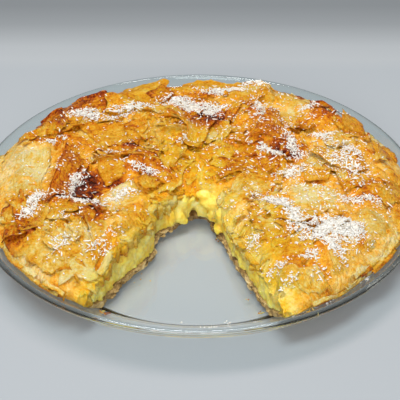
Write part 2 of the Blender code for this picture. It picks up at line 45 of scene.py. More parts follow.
# ------------------------------------------------------------------------- glass dish
# A clear pressed glass pie dish: flat floor, a wall that leans out and a rolled rim.
# Its section is spun about the Z axis in one piece, as the mould gives it.
RIM_EDGE = 1.8 * MM                 # radius of the rounded rim
RIM_MIDDLE = (0.1370, 0.0237)       # centre of its section, as radius and height
FLOOR_TOP = 4 * MM
WALL_FOOT = (0.1112, 0.0047)        # where the inner wall starts, as radius and height
WALL_LEAN = 0.0203 / 0.0154         # how far it leans out for its rise
TINTED = (0.108, 0.138)             # radii between which the glass grows greener
DISH_STEPS = 240


def linear(code):
    """An sRGB hex colour as linear RGBA."""
    parts = [int(code[k:k + 2], 16) / 255 for k in (0, 2, 4)]
    return (*(c / 12.92 if c <= 0.04045 else ((c + 0.055) / 1.055) ** 2.4 for c in parts), 1)


def add(tree, kind, settings={}, links={}):
    """Add a shader node: settings by socket or property, links from other nodes' outputs. A
    socket goes by its name, or by its number where names repeat."""
    new = tree.nodes.new(kind)
    for key, value in settings.items():
        if isinstance(key, int) or key in new.inputs:
            new.inputs[key].default_value = value
        else:
            setattr(new, key, value)
    for key, source in links.items():
        tree.links.new(source, new.inputs[key])
    return new


def new_material(name):
    """A material without nodes, and its tree."""
    material = bpy.data.materials.new(name)
    material.use_nodes = True
    material.node_tree.nodes.clear()
    return material, material.node_tree


def surface(tree, shader):
    """Make a shader the material's surface."""
    add(tree, "ShaderNodeOutputMaterial", {}, {"Surface": shader.outputs[0]})


def principled(tree, settings, links):
    """Make a Principled shader the material's surface."""
    surface(tree, add(tree, "ShaderNodeBsdfPrincipled", settings, links))


def spread_out(tree, value, low, high):
    """A number that runs from 0 to 1 as a value goes from low to high."""
    return add(tree, "ShaderNodeMapRange", {"From Min": low, "From Max": high},
               {"Value": value}).outputs["Result"]


def ramped(tree, source, stops):
    """A colour ramp on a number: returns its colour output."""
    ramp = add(tree, "ShaderNodeValToRGB", {}, {0: source})
    while len(ramp.color_ramp.elements) < len(stops):
        ramp.color_ramp.elements.new(0.5)
    for element, (position, code) in zip(ramp.color_ramp.elements, stops):
        element.position = position
        element.color = linear(code)
    return ramp.outputs["Color"]


def activate(piece):
    """Make a piece the only one that operators act on."""
    bpy.ops.object.select_all(action="DESELECT")
    piece.select_set(True)
    bpy.context.view_layer.objects.active = piece


def mesh_piece(name, points, faces, edges=()):
    """A mesh object at the origin from lists, made the active piece."""
    mesh = bpy.data.meshes.new(name)
    mesh.from_pydata(points, edges, faces)
    piece = bpy.data.objects.new(name, mesh)
    bpy.context.scene.collection.objects.link(piece)
    activate(piece)
    return piece


def edit(*steps):
    """Run mesh operators, each given with its settings, on the whole of the active piece."""
    bpy.ops.object.mode_set(mode="EDIT")
    for operator, settings in steps:
        bpy.ops.mesh.select_all(action="SELECT")
        operator(**settings)
    bpy.ops.object.mode_set(mode="OBJECT")


def cover(piece, material):
    """Give the whole piece one material."""
    piece.data.materials.clear()
    piece.data.materials.append(material)


def arc(centre, radius, start, end, count):
    """Points of a round corner, angles in degrees."""
    turns = np.radians(np.linspace(start, end, count))
    return [(centre[0] + radius * math.cos(t), centre[1] + radius * math.sin(t)) for t in turns]


section = [(0, 0)] + arc((0.1045, 0.0050), 0.0050, -90, -54, 5)
section += arc((0.1250, 0.0295), 0.0150, -52, -43, 4)
section += arc(RIM_MIDDLE, RIM_EDGE, -42, 138, 14)
section += arc((0.1225, 0.0317), 0.0150, -42, -53, 4)
section += arc((0.1083, 0.0090), 0.0050, -53, -90, 6) + [(0, FLOOR_TOP)]
profile = [(radius, 0, z) for radius, z in section]
dish = mesh_piece("dish", profile, [], [(k, k + 1) for k in range(len(profile) - 1)])
edit((bpy.ops.mesh.spin, {"steps": DISH_STEPS, "angle": 2 * math.pi, "center": (0, 0, 0),
                          "axis": (0, 0, 1)}),
     (bpy.ops.mesh.remove_doubles, {"threshold": 0.00001}),
     (bpy.ops.mesh.normals_make_consistent, {"inside": False}))
bpy.ops.object.shade_smooth_by_angle(angle=math.radians(50))

# Soda-lime glass, pressed: clear and smooth, grey-green where one looks along it, which is in
# its wall and rim. Light from the lamps, the food and the table goes straight through it, and so
# does light that has turned in it often, so that the table under the dish isn't left in the dark.
CLEAR_TINT = ((0.0, "FBFEFD"), (0.7, "FBFEFD"), (1.0, "E6F0EF"))
SHADOW_TINT = ((0.0, "FEFFFF"), (0.1, "FEFFFF"), (0.25, "DCE2E3"), (1.0, "E0E6E7"))
MOST_TURNS = 2.5                    # light that has turned more often goes straight through


def either(tree, first, second):
    """1 where one of two yes-or-no values is 1."""
    return add(tree, "ShaderNodeMath", {"operation": "MAXIMUM"}, {0: first, 1: second}).outputs[0]


def position(tree):
    """Where the shaded point lies on the piece."""
    return add(tree, "ShaderNodeTexCoord").outputs["Object"]


glass, tree = new_material("pressed_soda_lime_glass")
reach = add(tree, "ShaderNodeVectorMath", {"operation": "LENGTH"}, {"Vector": position(tree)})
outwards = spread_out(tree, reach.outputs["Value"], *TINTED)
body = add(tree, "ShaderNodeBsdfPrincipled",
           {"Roughness": 0.0, "IOR": 1.47, "Transmission Weight": 1.0},
           {"Base Color": ramped(tree, outwards, CLEAR_TINT)})
path = add(tree, "ShaderNodeLightPath").outputs
shadow = add(tree, "ShaderNodeMix", {"data_type": "RGBA", 6: linear("FEFFFF")},
             {"Factor": path["Is Shadow Ray"], 7: ramped(tree, outwards, SHADOW_TINT)})
clear = add(tree, "ShaderNodeBsdfTransparent", {}, {"Color": shadow.outputs[2]})
trapped = add(tree, "ShaderNodeMath", {"operation": "GREATER_THAN", 1: MOST_TURNS},
              {0: path["Ray Depth"]}).outputs[0]
lighting = either(tree, path["Is Shadow Ray"], path["Is Diffuse Ray"])
surface(tree, add(tree, "ShaderNodeMixShader", {},
                  {0: either(tree, lighting, trapped), 1: body.outputs[0], 2: clear.outputs[0]}))
cover(dish, glass)
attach(dish, "root")
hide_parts("glass_dish")

# ----------------------------------------------------------------------- bottom crust
# Sheets of filo baked dark under the custard: a thin tray with a low side against the glass.
# Its cut edges are ragged. The thin torn layers that stick out of them come further down.
GAP = 0.3 * MM
CRUST_TOP = 7.6 * MM
CRUST_INSET = 0.4 * MM              # how far the crust stands out under the custard at the cuts
TRAY_EDGE = 13.1 * MM
LID_EDGE = TRAY_EDGE + 0.4 * MM
APEX = np.array((2.0, 5.6)) * MM
LEFT_CUT = math.radians(-120.9)
RIGHT_CUT = math.radians(-70.4)
CUT_STEP = 1.9 * MM
RAGGED_END = 0.130                  # how far from the cuts' meeting point they are ragged
CUT_END = 0.160
TIP_POINTS = 22                     # points round the wedge's end, with the walls' last two
COLUMNS = 420
TURNS = np.linspace(0, 2 * math.pi, COLUMNS, endpoint=False)
NO_POINTS = np.empty((0, 3))

# The crust's section as radius and height: up its inner side, over its edge, down its outer side
CRUST_SECTION = ((0.1060, CRUST_TOP), (0.1170, TRAY_EDGE), (0.1213, TRAY_EDGE),
                 (0.1098, 0.0050), (0.1086, FLOOR_TOP + GAP))

# How far each cut bends into the wedge along its length, from the cuts' meeting point (mm)
LEFT_BEND = ((0, 20, 29, 42, 50, 57, 66, 80, 92, 115),
             (0, -1.0, -2.7, -5.5, -4.5, 1.5, 2.0, 1.0, 0, 2.0))
RIGHT_BEND = ((0, 30, 40, 60, 88, 104, 115), (1.5, 1.2, 0, 1.0, 1.0, -1.0, -2.0))


def swell(x, y, wavelength, seed):
    """Rolling ground from about -1 to 1: sine waves in drawn directions."""
    rng = np.random.default_rng(seed)
    total = np.zeros_like(x, dtype=float)
    for _ in range(6):
        heading, phase = rng.uniform(0, 2 * math.pi, 2)
        pitch = 2 * math.pi / wavelength * rng.uniform(0.7, 1.3)
        total += np.sin(pitch * (x * math.cos(heading) + y * math.sin(heading)) + phase)
    return total / 3


def crumple(x, y, cell, seed):
    """Crumpled paper from -1 to 1: flat triangles between corners of drawn height."""
    x = x + 0.35 * cell * swell(x, y, 4 * cell, seed + 1)
    y = y + 0.35 * cell * swell(x, y, 4 * cell, seed + 2)
    row = y / (cell * math.sqrt(0.75))
    column = x / cell - 0.5 * row
    i, j = np.floor(column).astype(int), np.floor(row).astype(int)
    u, v = column - i, row - j
    far = (u + v > 1).astype(int)
    heights = np.random.default_rng(seed).uniform(-1, 1, (64, 64))
    first = heights[(i + far) % 64, (j + far) % 64]
    second = heights[(i + 1) % 64, j % 64]
    third = heights[i % 64, (j + 1) % 64]
    share = np.where(far == 1, u + v - 1, 1 - u - v)
    along = np.where(far == 1, 1 - v, u)
    return share * first + along * second + (1 - share - along) * third


def ease(t):
    """0 to 1 with level ends."""
    t = np.clip(t, 0, 1)
    return t * t * (3 - 2 * t)


def bend_of(along, side):
    """How far the left (-1) or right (1) cut bends into the wedge at a distance along it."""
    return np.interp(along / MM, *(LEFT_BEND if side < 0 else RIGHT_BEND)) * MM


def across_cut(x, y, cut, side):
    """Distance into the pie from a cut, measured at right angles to it."""
    along = (x - APEX[0]) * math.cos(cut) + (y - APEX[1]) * math.sin(cut)
    straight = side * ((x - APEX[0]) * math.sin(cut) - (y - APEX[1]) * math.cos(cut))
    return straight + bend_of(along, -side)


def wedge_depth(x, y, tip, left_set=0.0, right_set=0.0):
    """Distance into the cut wedge, rounded at its tip; negative inside the pie. The sets widen
    the wedge at its two cuts."""
    half = 0.5 * (RIGHT_CUT - LEFT_CUT)
    middle = 0.5 * (LEFT_CUT + RIGHT_CUT)
    bend = tip * math.tan(half) + 0.5 * (left_set + right_set)
    left = left_set - across_cut(x, y, LEFT_CUT, 1.0)
    right = right_set - across_cut(x, y, RIGHT_CUT, -1.0)
    reach = (x - APEX[0]) * math.cos(middle) + (y - APEX[1]) * math.sin(middle)
    centre = tip / math.cos(half)
    aside = (x - APEX[0]) * math.sin(middle) - (y - APEX[1]) * math.cos(middle)
    rounded = bend - np.hypot(reach - centre, aside)
    behind = reach < centre - np.abs(aside) * math.tan(half)
    return np.where(behind, rounded, np.minimum(left, right))


def ring(radius, z):
    """One point for each column round the Z axis."""
    height = np.broadcast_to(z, TURNS.shape)
    return np.column_stack((radius * np.cos(TURNS), radius * np.sin(TURNS), height))


def scatter_inside(edge, spacing, height, seed):
    """Jittered points inside a ring, set on the height that a function gives."""
    rng = np.random.default_rng(seed)
    reach = np.hypot(edge[:, 0], edge[:, 1]).max()
    step = spacing * math.sqrt(0.75)
    rows = int(reach / step) + 1
    j, i = np.meshgrid(np.arange(-rows, rows + 1), np.arange(-rows - 2, rows + 3))
    points = np.column_stack((((i + 0.5 * (j % 2)) * spacing).ravel(), (j * step).ravel()))
    points = points + rng.uniform(-0.25, 0.25, points.shape) * spacing
    angle = np.arctan2(points[:, 1], points[:, 0]) % (2 * math.pi)
    turns = np.linspace(0, 2 * math.pi, len(edge) + 1)
    edge_radius = np.hypot(edge[:, 0], edge[:, 1])
    limit = np.interp(angle, turns, np.append(edge_radius, edge_radius[0]))
    points = points[np.hypot(points[:, 0], points[:, 1]) < limit - 0.6 * spacing]
    return np.column_stack((points, height(points[:, 0], points[:, 1])))


def filled(edge, inner, upwards):
    """Triangles of the face that a ring bounds. The ring's points are numbered from 0, and the
    inner points after them."""
    flat = [tuple(p[:2]) for p in edge] + [tuple(p[:2]) for p in inner]
    sides = [(k, (k + 1) % len(edge)) for k in range(len(edge))]
    result = delaunay_2d_cdt(flat, sides, [], 1, 1e-8)
    source = np.array([origins[0] for origins in result[3]])
    triangles = source[np.array(result[2])]
    return triangles if upwards else triangles[:, ::-1]


def bands(loops):
    """Quads between closed loops of points, which are numbered loop by loop."""
    count = len(loops[0])
    k = np.arange(count)
    after = (k + 1) % count
    return np.vstack([np.column_stack((k, k + count, after + count, after)) + count * number
                      for number in range(len(loops) - 1)])


def layer_solid(name, rings, top_inner=NO_POINTS, bottom_inner=NO_POINTS):
    """A closed solid from the rings of its side, top to bottom, and the points on its faces."""
    n, on_rings = COLUMNS, COLUMNS * len(rings)
    top = filled(rings[0], top_inner, True)
    top = np.where(top >= n, top - n + on_rings, top)
    bottom = filled(rings[-1], bottom_inner, False)
    bottom = np.where(bottom >= n, bottom + len(top_inner), bottom) + on_rings - n
    points = np.vstack((*rings, top_inner, bottom_inner))
    return mesh_piece(name, points.tolist(), bands(rings).tolist() + top.tolist() + bottom.tolist())


def ragged(along, amount, seed):
    """An uneven torn line: waves of 14, 6 and 2.6 mm with drawn phases."""
    phase = np.random.default_rng(seed).uniform(0, 6.3, 3)
    waves = np.sin(along / 0.0022 + phase[0]) + 0.6 * np.sin(along / 0.00095 + phase[1])
    return amount * (waves + 0.5 * np.sin(along / 0.00041 + phase[2])) / 1.6


def wedge_cutter(name, insets, tip, roughness, levels, seed):
    """The removed slice, with ragged walls and a rounded end. The insets narrow it at the left
    and at the right cut, and tip is where its end meets the cuts."""
    rng = np.random.default_rng(seed)
    middle, half = 0.5 * (LEFT_CUT + RIGHT_CUT), 0.5 * (RIGHT_CUT - LEFT_CUT)
    towards = np.array((math.cos(middle), math.sin(middle)))
    loops = []
    for z in levels:
        steps = int((RAGGED_END - tip) / CUT_STEP)
        along = np.append(np.linspace(tip, RAGGED_END, steps), CUT_END)
        walls = []
        for cut, side, inset in ((LEFT_CUT, -1.0, insets[0]), (RIGHT_CUT, 1.0, insets[1])):
            direction = np.array((math.cos(cut), math.sin(cut)))
            normal = side * np.array((-math.sin(cut), math.cos(cut)))
            shift = ragged(along + side * z, 0.6 * roughness, seed + int(side))
            shift = shift + 0.7 * MM * np.sin(along / 0.0085 + side) + bend_of(along, side)
            shift = shift + rng.uniform(-0.5, 0.5, along.size) * roughness + inset
            walls.append(APEX + np.outer(along, direction) - np.outer(shift, normal))
        bend = tip * math.tan(half) - 0.5 * (insets[0] + insets[1])
        centre = APEX + tip / math.cos(half) * towards
        sweep = np.linspace(LEFT_CUT - math.pi / 2, RIGHT_CUT + math.pi / 2 - 2 * math.pi,
                            TIP_POINTS)[1:-1]
        push = bend + ragged(sweep * bend, 0.6 * roughness, seed + 5)
        end = centre + (push * np.array((np.cos(sweep), np.sin(sweep)))).T
        plan = np.vstack((walls[0][::-1], end, walls[1]))
        loops.append(np.column_stack((plan, np.full(len(plan), z))))
    k = np.arange(len(loops[0]))
    ends = [k[::-1].tolist(), (k + len(k) * (len(levels) - 1)).tolist()]
    cutter = mesh_piece(name, np.vstack(loops).tolist(),
                        bands(loops)[:, (0, 3, 2, 1)].tolist() + ends)
    edit((bpy.ops.mesh.quads_convert_to_tris, {}),
         (bpy.ops.mesh.normals_make_consistent, {"inside": False}))
    return cutter


def modify(piece, kind, settings):
    """Apply one modifier to a piece, which becomes the active one."""
    activate(piece)
    modifier = piece.modifiers.new("change", kind)
    for key, value in settings.items():
        setattr(modifier, key, value)
    bpy.ops.object.modifier_apply(modifier=modifier.name)


def cut_out(piece, cutter):
    """Take a form out of a piece, and the form itself out of the scene."""
    modify(piece, "BOOLEAN", {"operation": "DIFFERENCE", "solver": "MANIFOLD", "object": cutter})
    bpy.data.objects.remove(cutter, do_unlink=True)


def set_attribute(piece, name, values):
    """Store one number for each point, which the material reads."""
    layer = piece.data.attributes.new(name, "FLOAT", "POINT")
    layer.data.foreach_set("value", np.asarray(values, dtype=np.float32))


def set_grain(piece, places):
    """Store where each point lies along and across its sheet, in millimetres, which gives the
    material its streaks."""
    layer = piece.data.attributes.new("grain", "FLOAT_VECTOR", "POINT")
    flat = np.column_stack((places, np.zeros(len(places)))).astype(np.float32)
    layer.data.foreach_set("vector", flat.ravel())


def points_of(piece):
    """The piece's points as an array."""
    flat = np.empty(len(piece.data.vertices) * 3, np.float32)
    piece.data.vertices.foreach_get("co", flat)
    return flat.reshape(-1, 3).astype(float)


crust_levels = np.array((1, 4.6, 5.4, 6.2, 7.0, 8.2, 10, 12, 15, 60)) * MM
crust = layer_solid("bottom_crust", [ring(*corner) for corner in CRUST_SECTION])
cut_out(crust, wedge_cutter("crust_cutter", (CRUST_INSET, CRUST_INSET), 0.022, 1.3 * MM,
                            crust_levels, 71))
x, y, _ = points_of(crust).T
# Darker towards the wedge's tip: partly baked darker, partly painted shade of the pie that
# overhangs the tip.
tip_bake_and_shade = ease(1.4 - np.hypot(x - 2 * MM, y + 22 * MM) / (22 * MM))   # it is darkest there
set_attribute(crust, "bake", 0.5 + 0.35 * tip_bake_and_shade + 0.10 * swell(x, y, 0.02, 3))
set_grain(crust, np.column_stack((x, y)) / MM)

# --------------------------------------------------------------------- filo's material
# Buttered filo, baked in a hot oven: pale cream where sheets lie flat, golden to red-brown on
# folds and torn edges, and bright yellow where custard has soaked in. It is thin, so light comes
# through, and the butter gives it a shine.
BAKE_COLOURS = ((0.0, "FEDE9A"), (0.14, "FCCB66"), (0.34, "F7B02E"), (0.50, "EC9812"),
                (0.64, "D47408"), (0.78, "AC4A06"), (0.90, "7A2709"), (1.0, "451609"))
SOAKED_COLOURS = ((0.0, "FFDE62"), (0.25, "FFCC32"), (0.50, "FDB418"), (0.75, "EE960A"),
                  (1.0, "A85408"))


def noise(tree, place, scale, detail, swing, base=None):
    """Noise from -swing / 2 to swing / 2 on a number, or by itself."""
    field = add(tree, "ShaderNodeTexNoise", {"Scale": scale, "Detail": detail, "Roughness": 0.6},
                {"Vector": place})
    scaled = add(tree, "ShaderNodeMapRange", {"From Min": 0.3, "From Max": 0.7, "clamp": False,
                                              "To Min": -0.5 * swing, "To Max": 0.5 * swing},
                 {"Value": field.outputs["Fac"]})
    if base is None:
        return scaled.outputs["Result"]
    return add(tree, "ShaderNodeMath", {}, {0: scaled.outputs["Result"], 1: base}).outputs[0]


def stored(tree, name, kind="Fac"):
    """The value that the piece's points hold under a name."""
    return add(tree, "ShaderNodeAttribute", {"attribute_name": name}).outputs[kind]


def relief(tree, height, strength, depth):
    """A normal that follows a height, for roughness too fine for the mesh."""
    return add(tree, "ShaderNodeBump", {"Strength": strength, "Distance": depth},
               {"Height": height}).outputs["Normal"]


filo, tree = new_material("buttered_baked_filo")
place = position(tree)
streaks = add(tree, "ShaderNodeMapping", {"Scale": (0.11, 0.45, 1.0)},
              {"Vector": stored(tree, "grain", "Vector")}).outputs["Vector"]
# The stored bake is mostly how far the filo is baked; it also carries painted shade in the lid's
# hollows, low on its side and along the side folds' lower edges, and a painted glow at pale sheets'
# free edges.
baked = noise(tree, streaks, 1.0, 4.0, 0.26, stored(tree, "bake"))
baked = noise(tree, place, 200.0, 4.0, 0.26, baked)
baked = noise(tree, place, 650.0, 3.0, 0.30, baked)
wrinkled = noise(tree, place, 420.0, 5.0, 0.9, noise(tree, streaks, 1.6, 5.0, 1.0))
normal = relief(tree, wrinkled, 0.9, 0.0014)
colour = add(tree, "ShaderNodeMix", {"data_type": "RGBA"},
             {"Factor": stored(tree, "soak"), 6: ramped(tree, baked, BAKE_COLOURS),
              7: ramped(tree, baked, SOAKED_COLOURS)})
principled(tree, {"Roughness": 0.5, "IOR": 1.45, "Specular IOR Level": 0.12,
                  "Subsurface Weight": 0.3, "Subsurface Scale": 0.0015,
                  "Subsurface Radius": (1.0, 0.45, 0.12), "Coat Weight": 0.5,
                  "Coat Roughness": 0.12},
           {"Base Color": colour.outputs[2], "Normal": normal, "Coat Normal": normal})

# The sheets under the custard, soaked, brown and nearly matt: they look flaky and blotched
CRUST_COLOURS = ((0.0, "F0DCA8"), (0.35, "D6B878"), (0.6, "AE8E58"), (1.0, "6E5636"))
soaked, tree = new_material("soaked_brown_crust")
place = position(tree)
shade = noise(tree, place, 300.0, 4.0, 0.7, stored(tree, "bake"))
principled(tree, {"Roughness": 0.5, "IOR": 1.45, "Specular IOR Level": 0.35},
           {"Base Color": ramped(tree, shade, CRUST_COLOURS),
            "Normal": relief(tree, noise(tree, place, 600.0, 4.0, 1.0), 0.8, 0.0006)})
cover(crust, soaked)
bpy.ops.object.shade_smooth_by_angle(angle=math.radians(30))
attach(crust, "root")
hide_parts("pastry_base")

# ---------------------------------------------------------------------------- custard
# Set egg custard, bright yellow and moist: one thick layer whose cut faces are curdled and torn.
# Its mesh is made even with a voxel remesh, then roughened where the knife and the air meet it.
CUSTARD_TOP = 27.5 * MM
CUSTARD_LEAST = 15.0 * MM
LEFT_SAG = 3.0 * MM
RIGHT_SAG = 8.5 * MM
EDGE_ROLL = 4.0 * MM                # how far the layers roll down at the very edge of the cut
CUSTARD_SPACING = 3 * MM
CUSTARD_VOXEL = 0.9 * MM
SAG_TIP = 0.030                     # the wedge's rounding for the sag and the roughness there
CUSTARD_RADII = (0.1120, 0.1172, 0.1167, 0.1057)    # from the edge of its top to its foot
CUSTARD_LEVELS = (1, 6, 7.8, 9.4, 11, 12.6, 14.4, 16.2, 18, 20, 22, 24, 26, 28, 31, 60)

# Lumps that stand out of the torn end of the cut, and hollows torn into it: x, y, z and three
# radii in millimetres
CURDS = (
    (8, -12, 20, 8, 6, 5), (10, -15, 13, 6, 5, 5), (13, -22, 16, 3, 6, 6), (3, -11, 25, 5, 4, 3),
    (-10, -12, 20, 5, 5, 6), (-12, -17, 13, 4, 4, 5), (-9, -17, 9, 3, 3, 3), (12, -24, 9, 3, 5, 3),
    (-4, -9, 21, 3, 4, 3), (-17, -21, 14, 3, 4, 6),
)
TORN_HOLLOWS = ((-3.5, -10, 8, 2.8, 6, 8), (-29, -40, 10, 4, 4, 3.5))


def sag(x, y):
    """How far the lid has sunk beside the cuts, and how far the custard under it has."""
    front = ease((0.02 - y) / 0.03)
    left = across_cut(x, y, LEFT_CUT, 1.0)
    right = across_cut(x, y, RIGHT_CUT, -1.0)
    outwards = ease((np.hypot(x, y) - 0.050) / 0.045)
    left = LEFT_SAG * ease(1 - np.abs(left) / 0.020) * front
    right = (RIGHT_SAG - 4.5 * MM * outwards) * ease(1 - np.abs(right) / 0.026) * front
    rolled = EDGE_ROLL * np.clip(1 + wedge_depth(x, y, SAG_TIP) / 0.009, 0, 1.3) ** 2
    return left + right + rolled, 0.3 * left + right + 0.6 * rolled


def custard_height(x, y):
    """Top of the custard, which falls towards the rim and the cuts."""
    inward = np.clip((CUSTARD_RADII[0] - np.hypot(x, y)) / 0.03, 0, 1)
    level = CUSTARD_TOP - 5.5 * MM * (1 - inward) ** 2
    level = level + 1.6 * MM * swell(x, y, 0.075, 21) * inward
    return np.maximum(level - sag(x, y)[1], CUSTARD_LEAST)


edge = ring(CUSTARD_RADII[0], 0)
edge[:, 2] = custard_height(edge[:, 0], edge[:, 1])
side_heights = (LID_EDGE + 0.5 * (edge[:, 2] - LID_EDGE), LID_EDGE, CRUST_TOP + GAP)
custard_rings = [edge] + [ring(*corner) for corner in zip(CUSTARD_RADII[1:], side_heights)]
custard_top = scatter_inside(edge, CUSTARD_SPACING, custard_height, 81)
custard = layer_solid("custard_filling", custard_rings, custard_top)
cut_out(custard, wedge_cutter("custard_cutter", (0, 0), 0.028, 0.8 * MM,
                              np.array(CUSTARD_LEVELS) * MM, 91))


def lump_at(x, y, z, rx, ry, rz):
    """A smooth lump, its middle and radii in millimetres, made the active piece."""
    bpy.ops.mesh.primitive_ico_sphere_add(subdivisions=3, radius=1)
    lump = bpy.context.object
    lump.scale = (rx * MM, ry * MM, rz * MM)
    lump.location = (x * MM, y * MM, z * MM)
    bpy.ops.object.transform_apply(location=True, rotation=True, scale=True)
    return lump


for curd in CURDS:
    lump_at(*curd)
    custard.select_set(True)
    bpy.context.view_layer.objects.active = custard
    bpy.ops.object.join()
modify(custard, "REMESH", {"mode": "VOXEL", "voxel_size": CUSTARD_VOXEL})
for hollow in TORN_HOLLOWS:
    cut_out(custard, lump_at(*hollow))

x, y, _ = points_of(custard).T
near = ease(1 - np.abs(wedge_depth(x, y, SAG_TIP)) / 0.012)
rough = custard.vertex_groups.new(name="rough")
for level in range(1, 11):
    chosen = np.nonzero((near > (level - 1) / 10) & (near <= level / 10))[0]
    rough.add(chosen.tolist(), level / 10, "REPLACE")
for scale, strength, kind in ((6.0, 2.6, "SOFT_NOISE"), (2.4, 1.4, "HARD_NOISE")):
    clouds = bpy.data.textures.new("curds", "CLOUDS")
    clouds.noise_scale = scale * MM
    clouds.noise_depth = 4
    clouds.noise_type = kind
    modify(custard, "DISPLACE", {"texture": clouds, "texture_coords": "LOCAL", "mid_level": 0.5,
                                 "strength": strength * MM, "vertex_group": "rough"})
bpy.ops.object.shade_smooth()

# Custard: light goes deep into it, its colour is cloudy, and its moist skin shines a little
CUSTARD_COLOURS = ((0.0, "FDC038"), (0.35, "FFD652"), (0.65, "FFE26C"), (1.0, "FFEE9C"))
custard_skin, tree = new_material("moist_set_custard")
place = position(tree)
cloud = add(tree, "ShaderNodeTexNoise", {"Scale": 110.0, "Detail": 4.0, "Roughness": 0.65},
            {"Vector": place}).outputs["Fac"]
principled(tree, {"Roughness": 0.34, "IOR": 1.4, "Subsurface Weight": 0.6,
                  "Subsurface Scale": 0.008, "Subsurface Radius": (1.0, 0.75, 0.35)},
           {"Base Color": ramped(tree, spread_out(tree, cloud, 0.32, 0.68), CUSTARD_COLOURS),
            "Normal": relief(tree, noise(tree, place, 700.0, 3.0, 1.0), 0.4, 0.0005)})
cover(custard, custard_skin)
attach(custard, "root")
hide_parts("custard")

# --------------------------------------------------------------------------- filo lid
# The crumpled top of many filo sheets, wrapped down over the custard's side. This piece is its
# body; the loose sheets that follow lie on it. Its hills and hollows are those of the real pie.
LID_TOP = 34.0 * MM
LID_SHOULDER = 25.5 * MM
SHOULDER_INSET = 6 * MM
LID_SKIRT = 120.4 * MM
SHOULDER_ROUND = 20 * MM
LID_SPACING = 1.15 * MM
LID_INSETS = (-0.7 * MM, -0.3 * MM)  # the lid has shrunk back from the two cuts
LID_TIP = 0.028
LID_LEAST = 2.2 * MM                # the lid's least thickness, but for its edges at the cuts
SKIN = 1.0 * MM                     # and its thickness there
THINNED_REACH = 9 * MM              # how far in from the cuts it thins out
CREASED_AT = 0.12                   # creases in the side are drawn as on a circle of this radius
LID_FOOT = ((0.1215, LID_EDGE), (0.1176, LID_EDGE))  # its lower edge, outside and inside
LID_LEVELS = (1, 10, 13, 15, 17, 19, 21, 23, 25, 27, 29, 31, 33, 36, 60)

# The side's outline from the shoulder down: inset in mm, share of the height over the lid's edge
SIDE_PROFILE = ((6.0, 1.0), (3.4, 0.93), (1.6, 0.80), (0.5, 0.66), (0.0, 0.52),
                (0.7, 0.38), (1.8, 0.24), (2.6, 0.12), (3.2, 0.0))

# x, y, heading in degrees, half length, half width, height, all in millimetres
LID_FORMS = (
    (-85, -8, 84, 32, 6, 4.5), (-98, -16, 82, 26, 8, -3.0), (-70, -17, 10, 12, 6, -7.0),
    (-55, 1, -6, 14, 5, 4.0), (-54, -8, -6, 9, 3, -5.0), (-41, 38, 79, 18, 4, -4.5),
    (-34, 13, 20, 13, 9, 3.5), (4, 68, -24, 14, 6, -5.0), (0, 40, 50, 9, 4, -3.0),
    (57, 26, -22, 11, 5, -5.0), (46, 47, 62, 16, 6, 4.5), (72, -9, -24, 14, 3, -3.0),
    (74, -4, -24, 18, 5, 2.5), (104, -24, -20, 14, 4, -3.5), (84, 66, -12, 16, 5, 3.5),
    (101, 53, 10, 10, 3, -4.0), (-95, 58, 58, 36, 8, 3.5), (-104, 46, 62, 22, 3, -4.5),
    (-66, 62, 12, 26, 6, -2.0), (-30, 88, -8, 30, 9, 2.5), (30, 92, -12, 26, 8, 2.5),
    (-60, -62, 40, 26, 14, 2.0), (-34, -46, 55, 26, 8, 3.0), (-54, -86, 10, 10, 5, -3.5),
    (-104, -50, 60, 16, 5, -3.0), (40, -62, 70, 20, 8, 2.5), (70, -66, 20, 22, 14, 1.6),
    (62, -100, 4, 16, 5, 2.2),
)

# How far the top is baked in places; the darkest tones lie in the lid's hollows, partly baked and
# partly painted shade there:
# x, y, radius in millimetres, tone from 0 (pale) to 1 (dark)
TONES = (
    (-108, 17, 13, 0.06), (-100, 6, 9, 0.10), (-108, -8, 10, 0.24), (-98, -20, 8, 0.34),
    (-122, 6, 8, 0.02), (-90, -79, 16, 0.16), (-72, -70, 12, 0.12), (-50, -26, 8, 0.06),
    (-66, 44, 12, 0.48), (-94, 64, 14, 0.60), (-58, 54, 12, 0.46), (-100, 42, 9, 0.44),
    (-82, -2, 8, 0.68), (-83, 14, 7, 0.66), (-85, -24, 8, 0.70), (-33, 11, 11, 0.66),
    (-71, -18, 9, 1.0), (5, 66, 9, 0.92), (-41, 38, 6, 0.97), (-54, -8, 5, 0.80),
    (-64, -50, 9, 0.62), (-104, -50, 9, 0.66), (-110, -60, 9, 0.72), (-12, 25, 14, 0.44),
    (-23, 42, 12, 0.22), (-5, -8, 10, 0.40), (1, 25, 8, 0.52), (-40, 98, 14, 0.46),
    (-4, 98, 12, 0.56), (30, 104, 12, 0.30), (62, 84, 12, 0.22), (28, 88, 9, 0.40),
    (46, 47, 9, 0.64), (36, 36, 9, 0.54), (57, 26, 7, 0.86), (48, 10, 10, 0.54),
    (75, 16, 8, 0.16), (70, -22, 13, 0.14), (36, -14, 12, 0.30), (24, 8, 13, 0.54),
    (96, 25, 12, 0.30), (88, 43, 10, 0.34), (101, 62, 8, 0.56), (86, 71, 8, 0.72),
    (112, -22, 9, 0.50), (103, -24, 5, 0.85), (102, -48, 12, 0.16), (100, -76, 12, 0.24),
    (46, -92, 8, 0.60), (50, -107, 8, 0.34), (30, -66, 9, 0.40), (62, -78, 9, 0.52),
    (66, -100, 11, 0.38), (84, -90, 10, 0.26), (-36, -42, 10, 0.50), (-46, -56, 9, 0.30),
    (-55, -82, 8, 0.58), (-72, -88, 9, 0.40), (-60, -98, 9, 0.26), (-84, -101, 10, 0.36),
    (66, -5, 6, 0.30), (72, -9, 4, 0.74), (-12, -26, 8, 0.42),
)

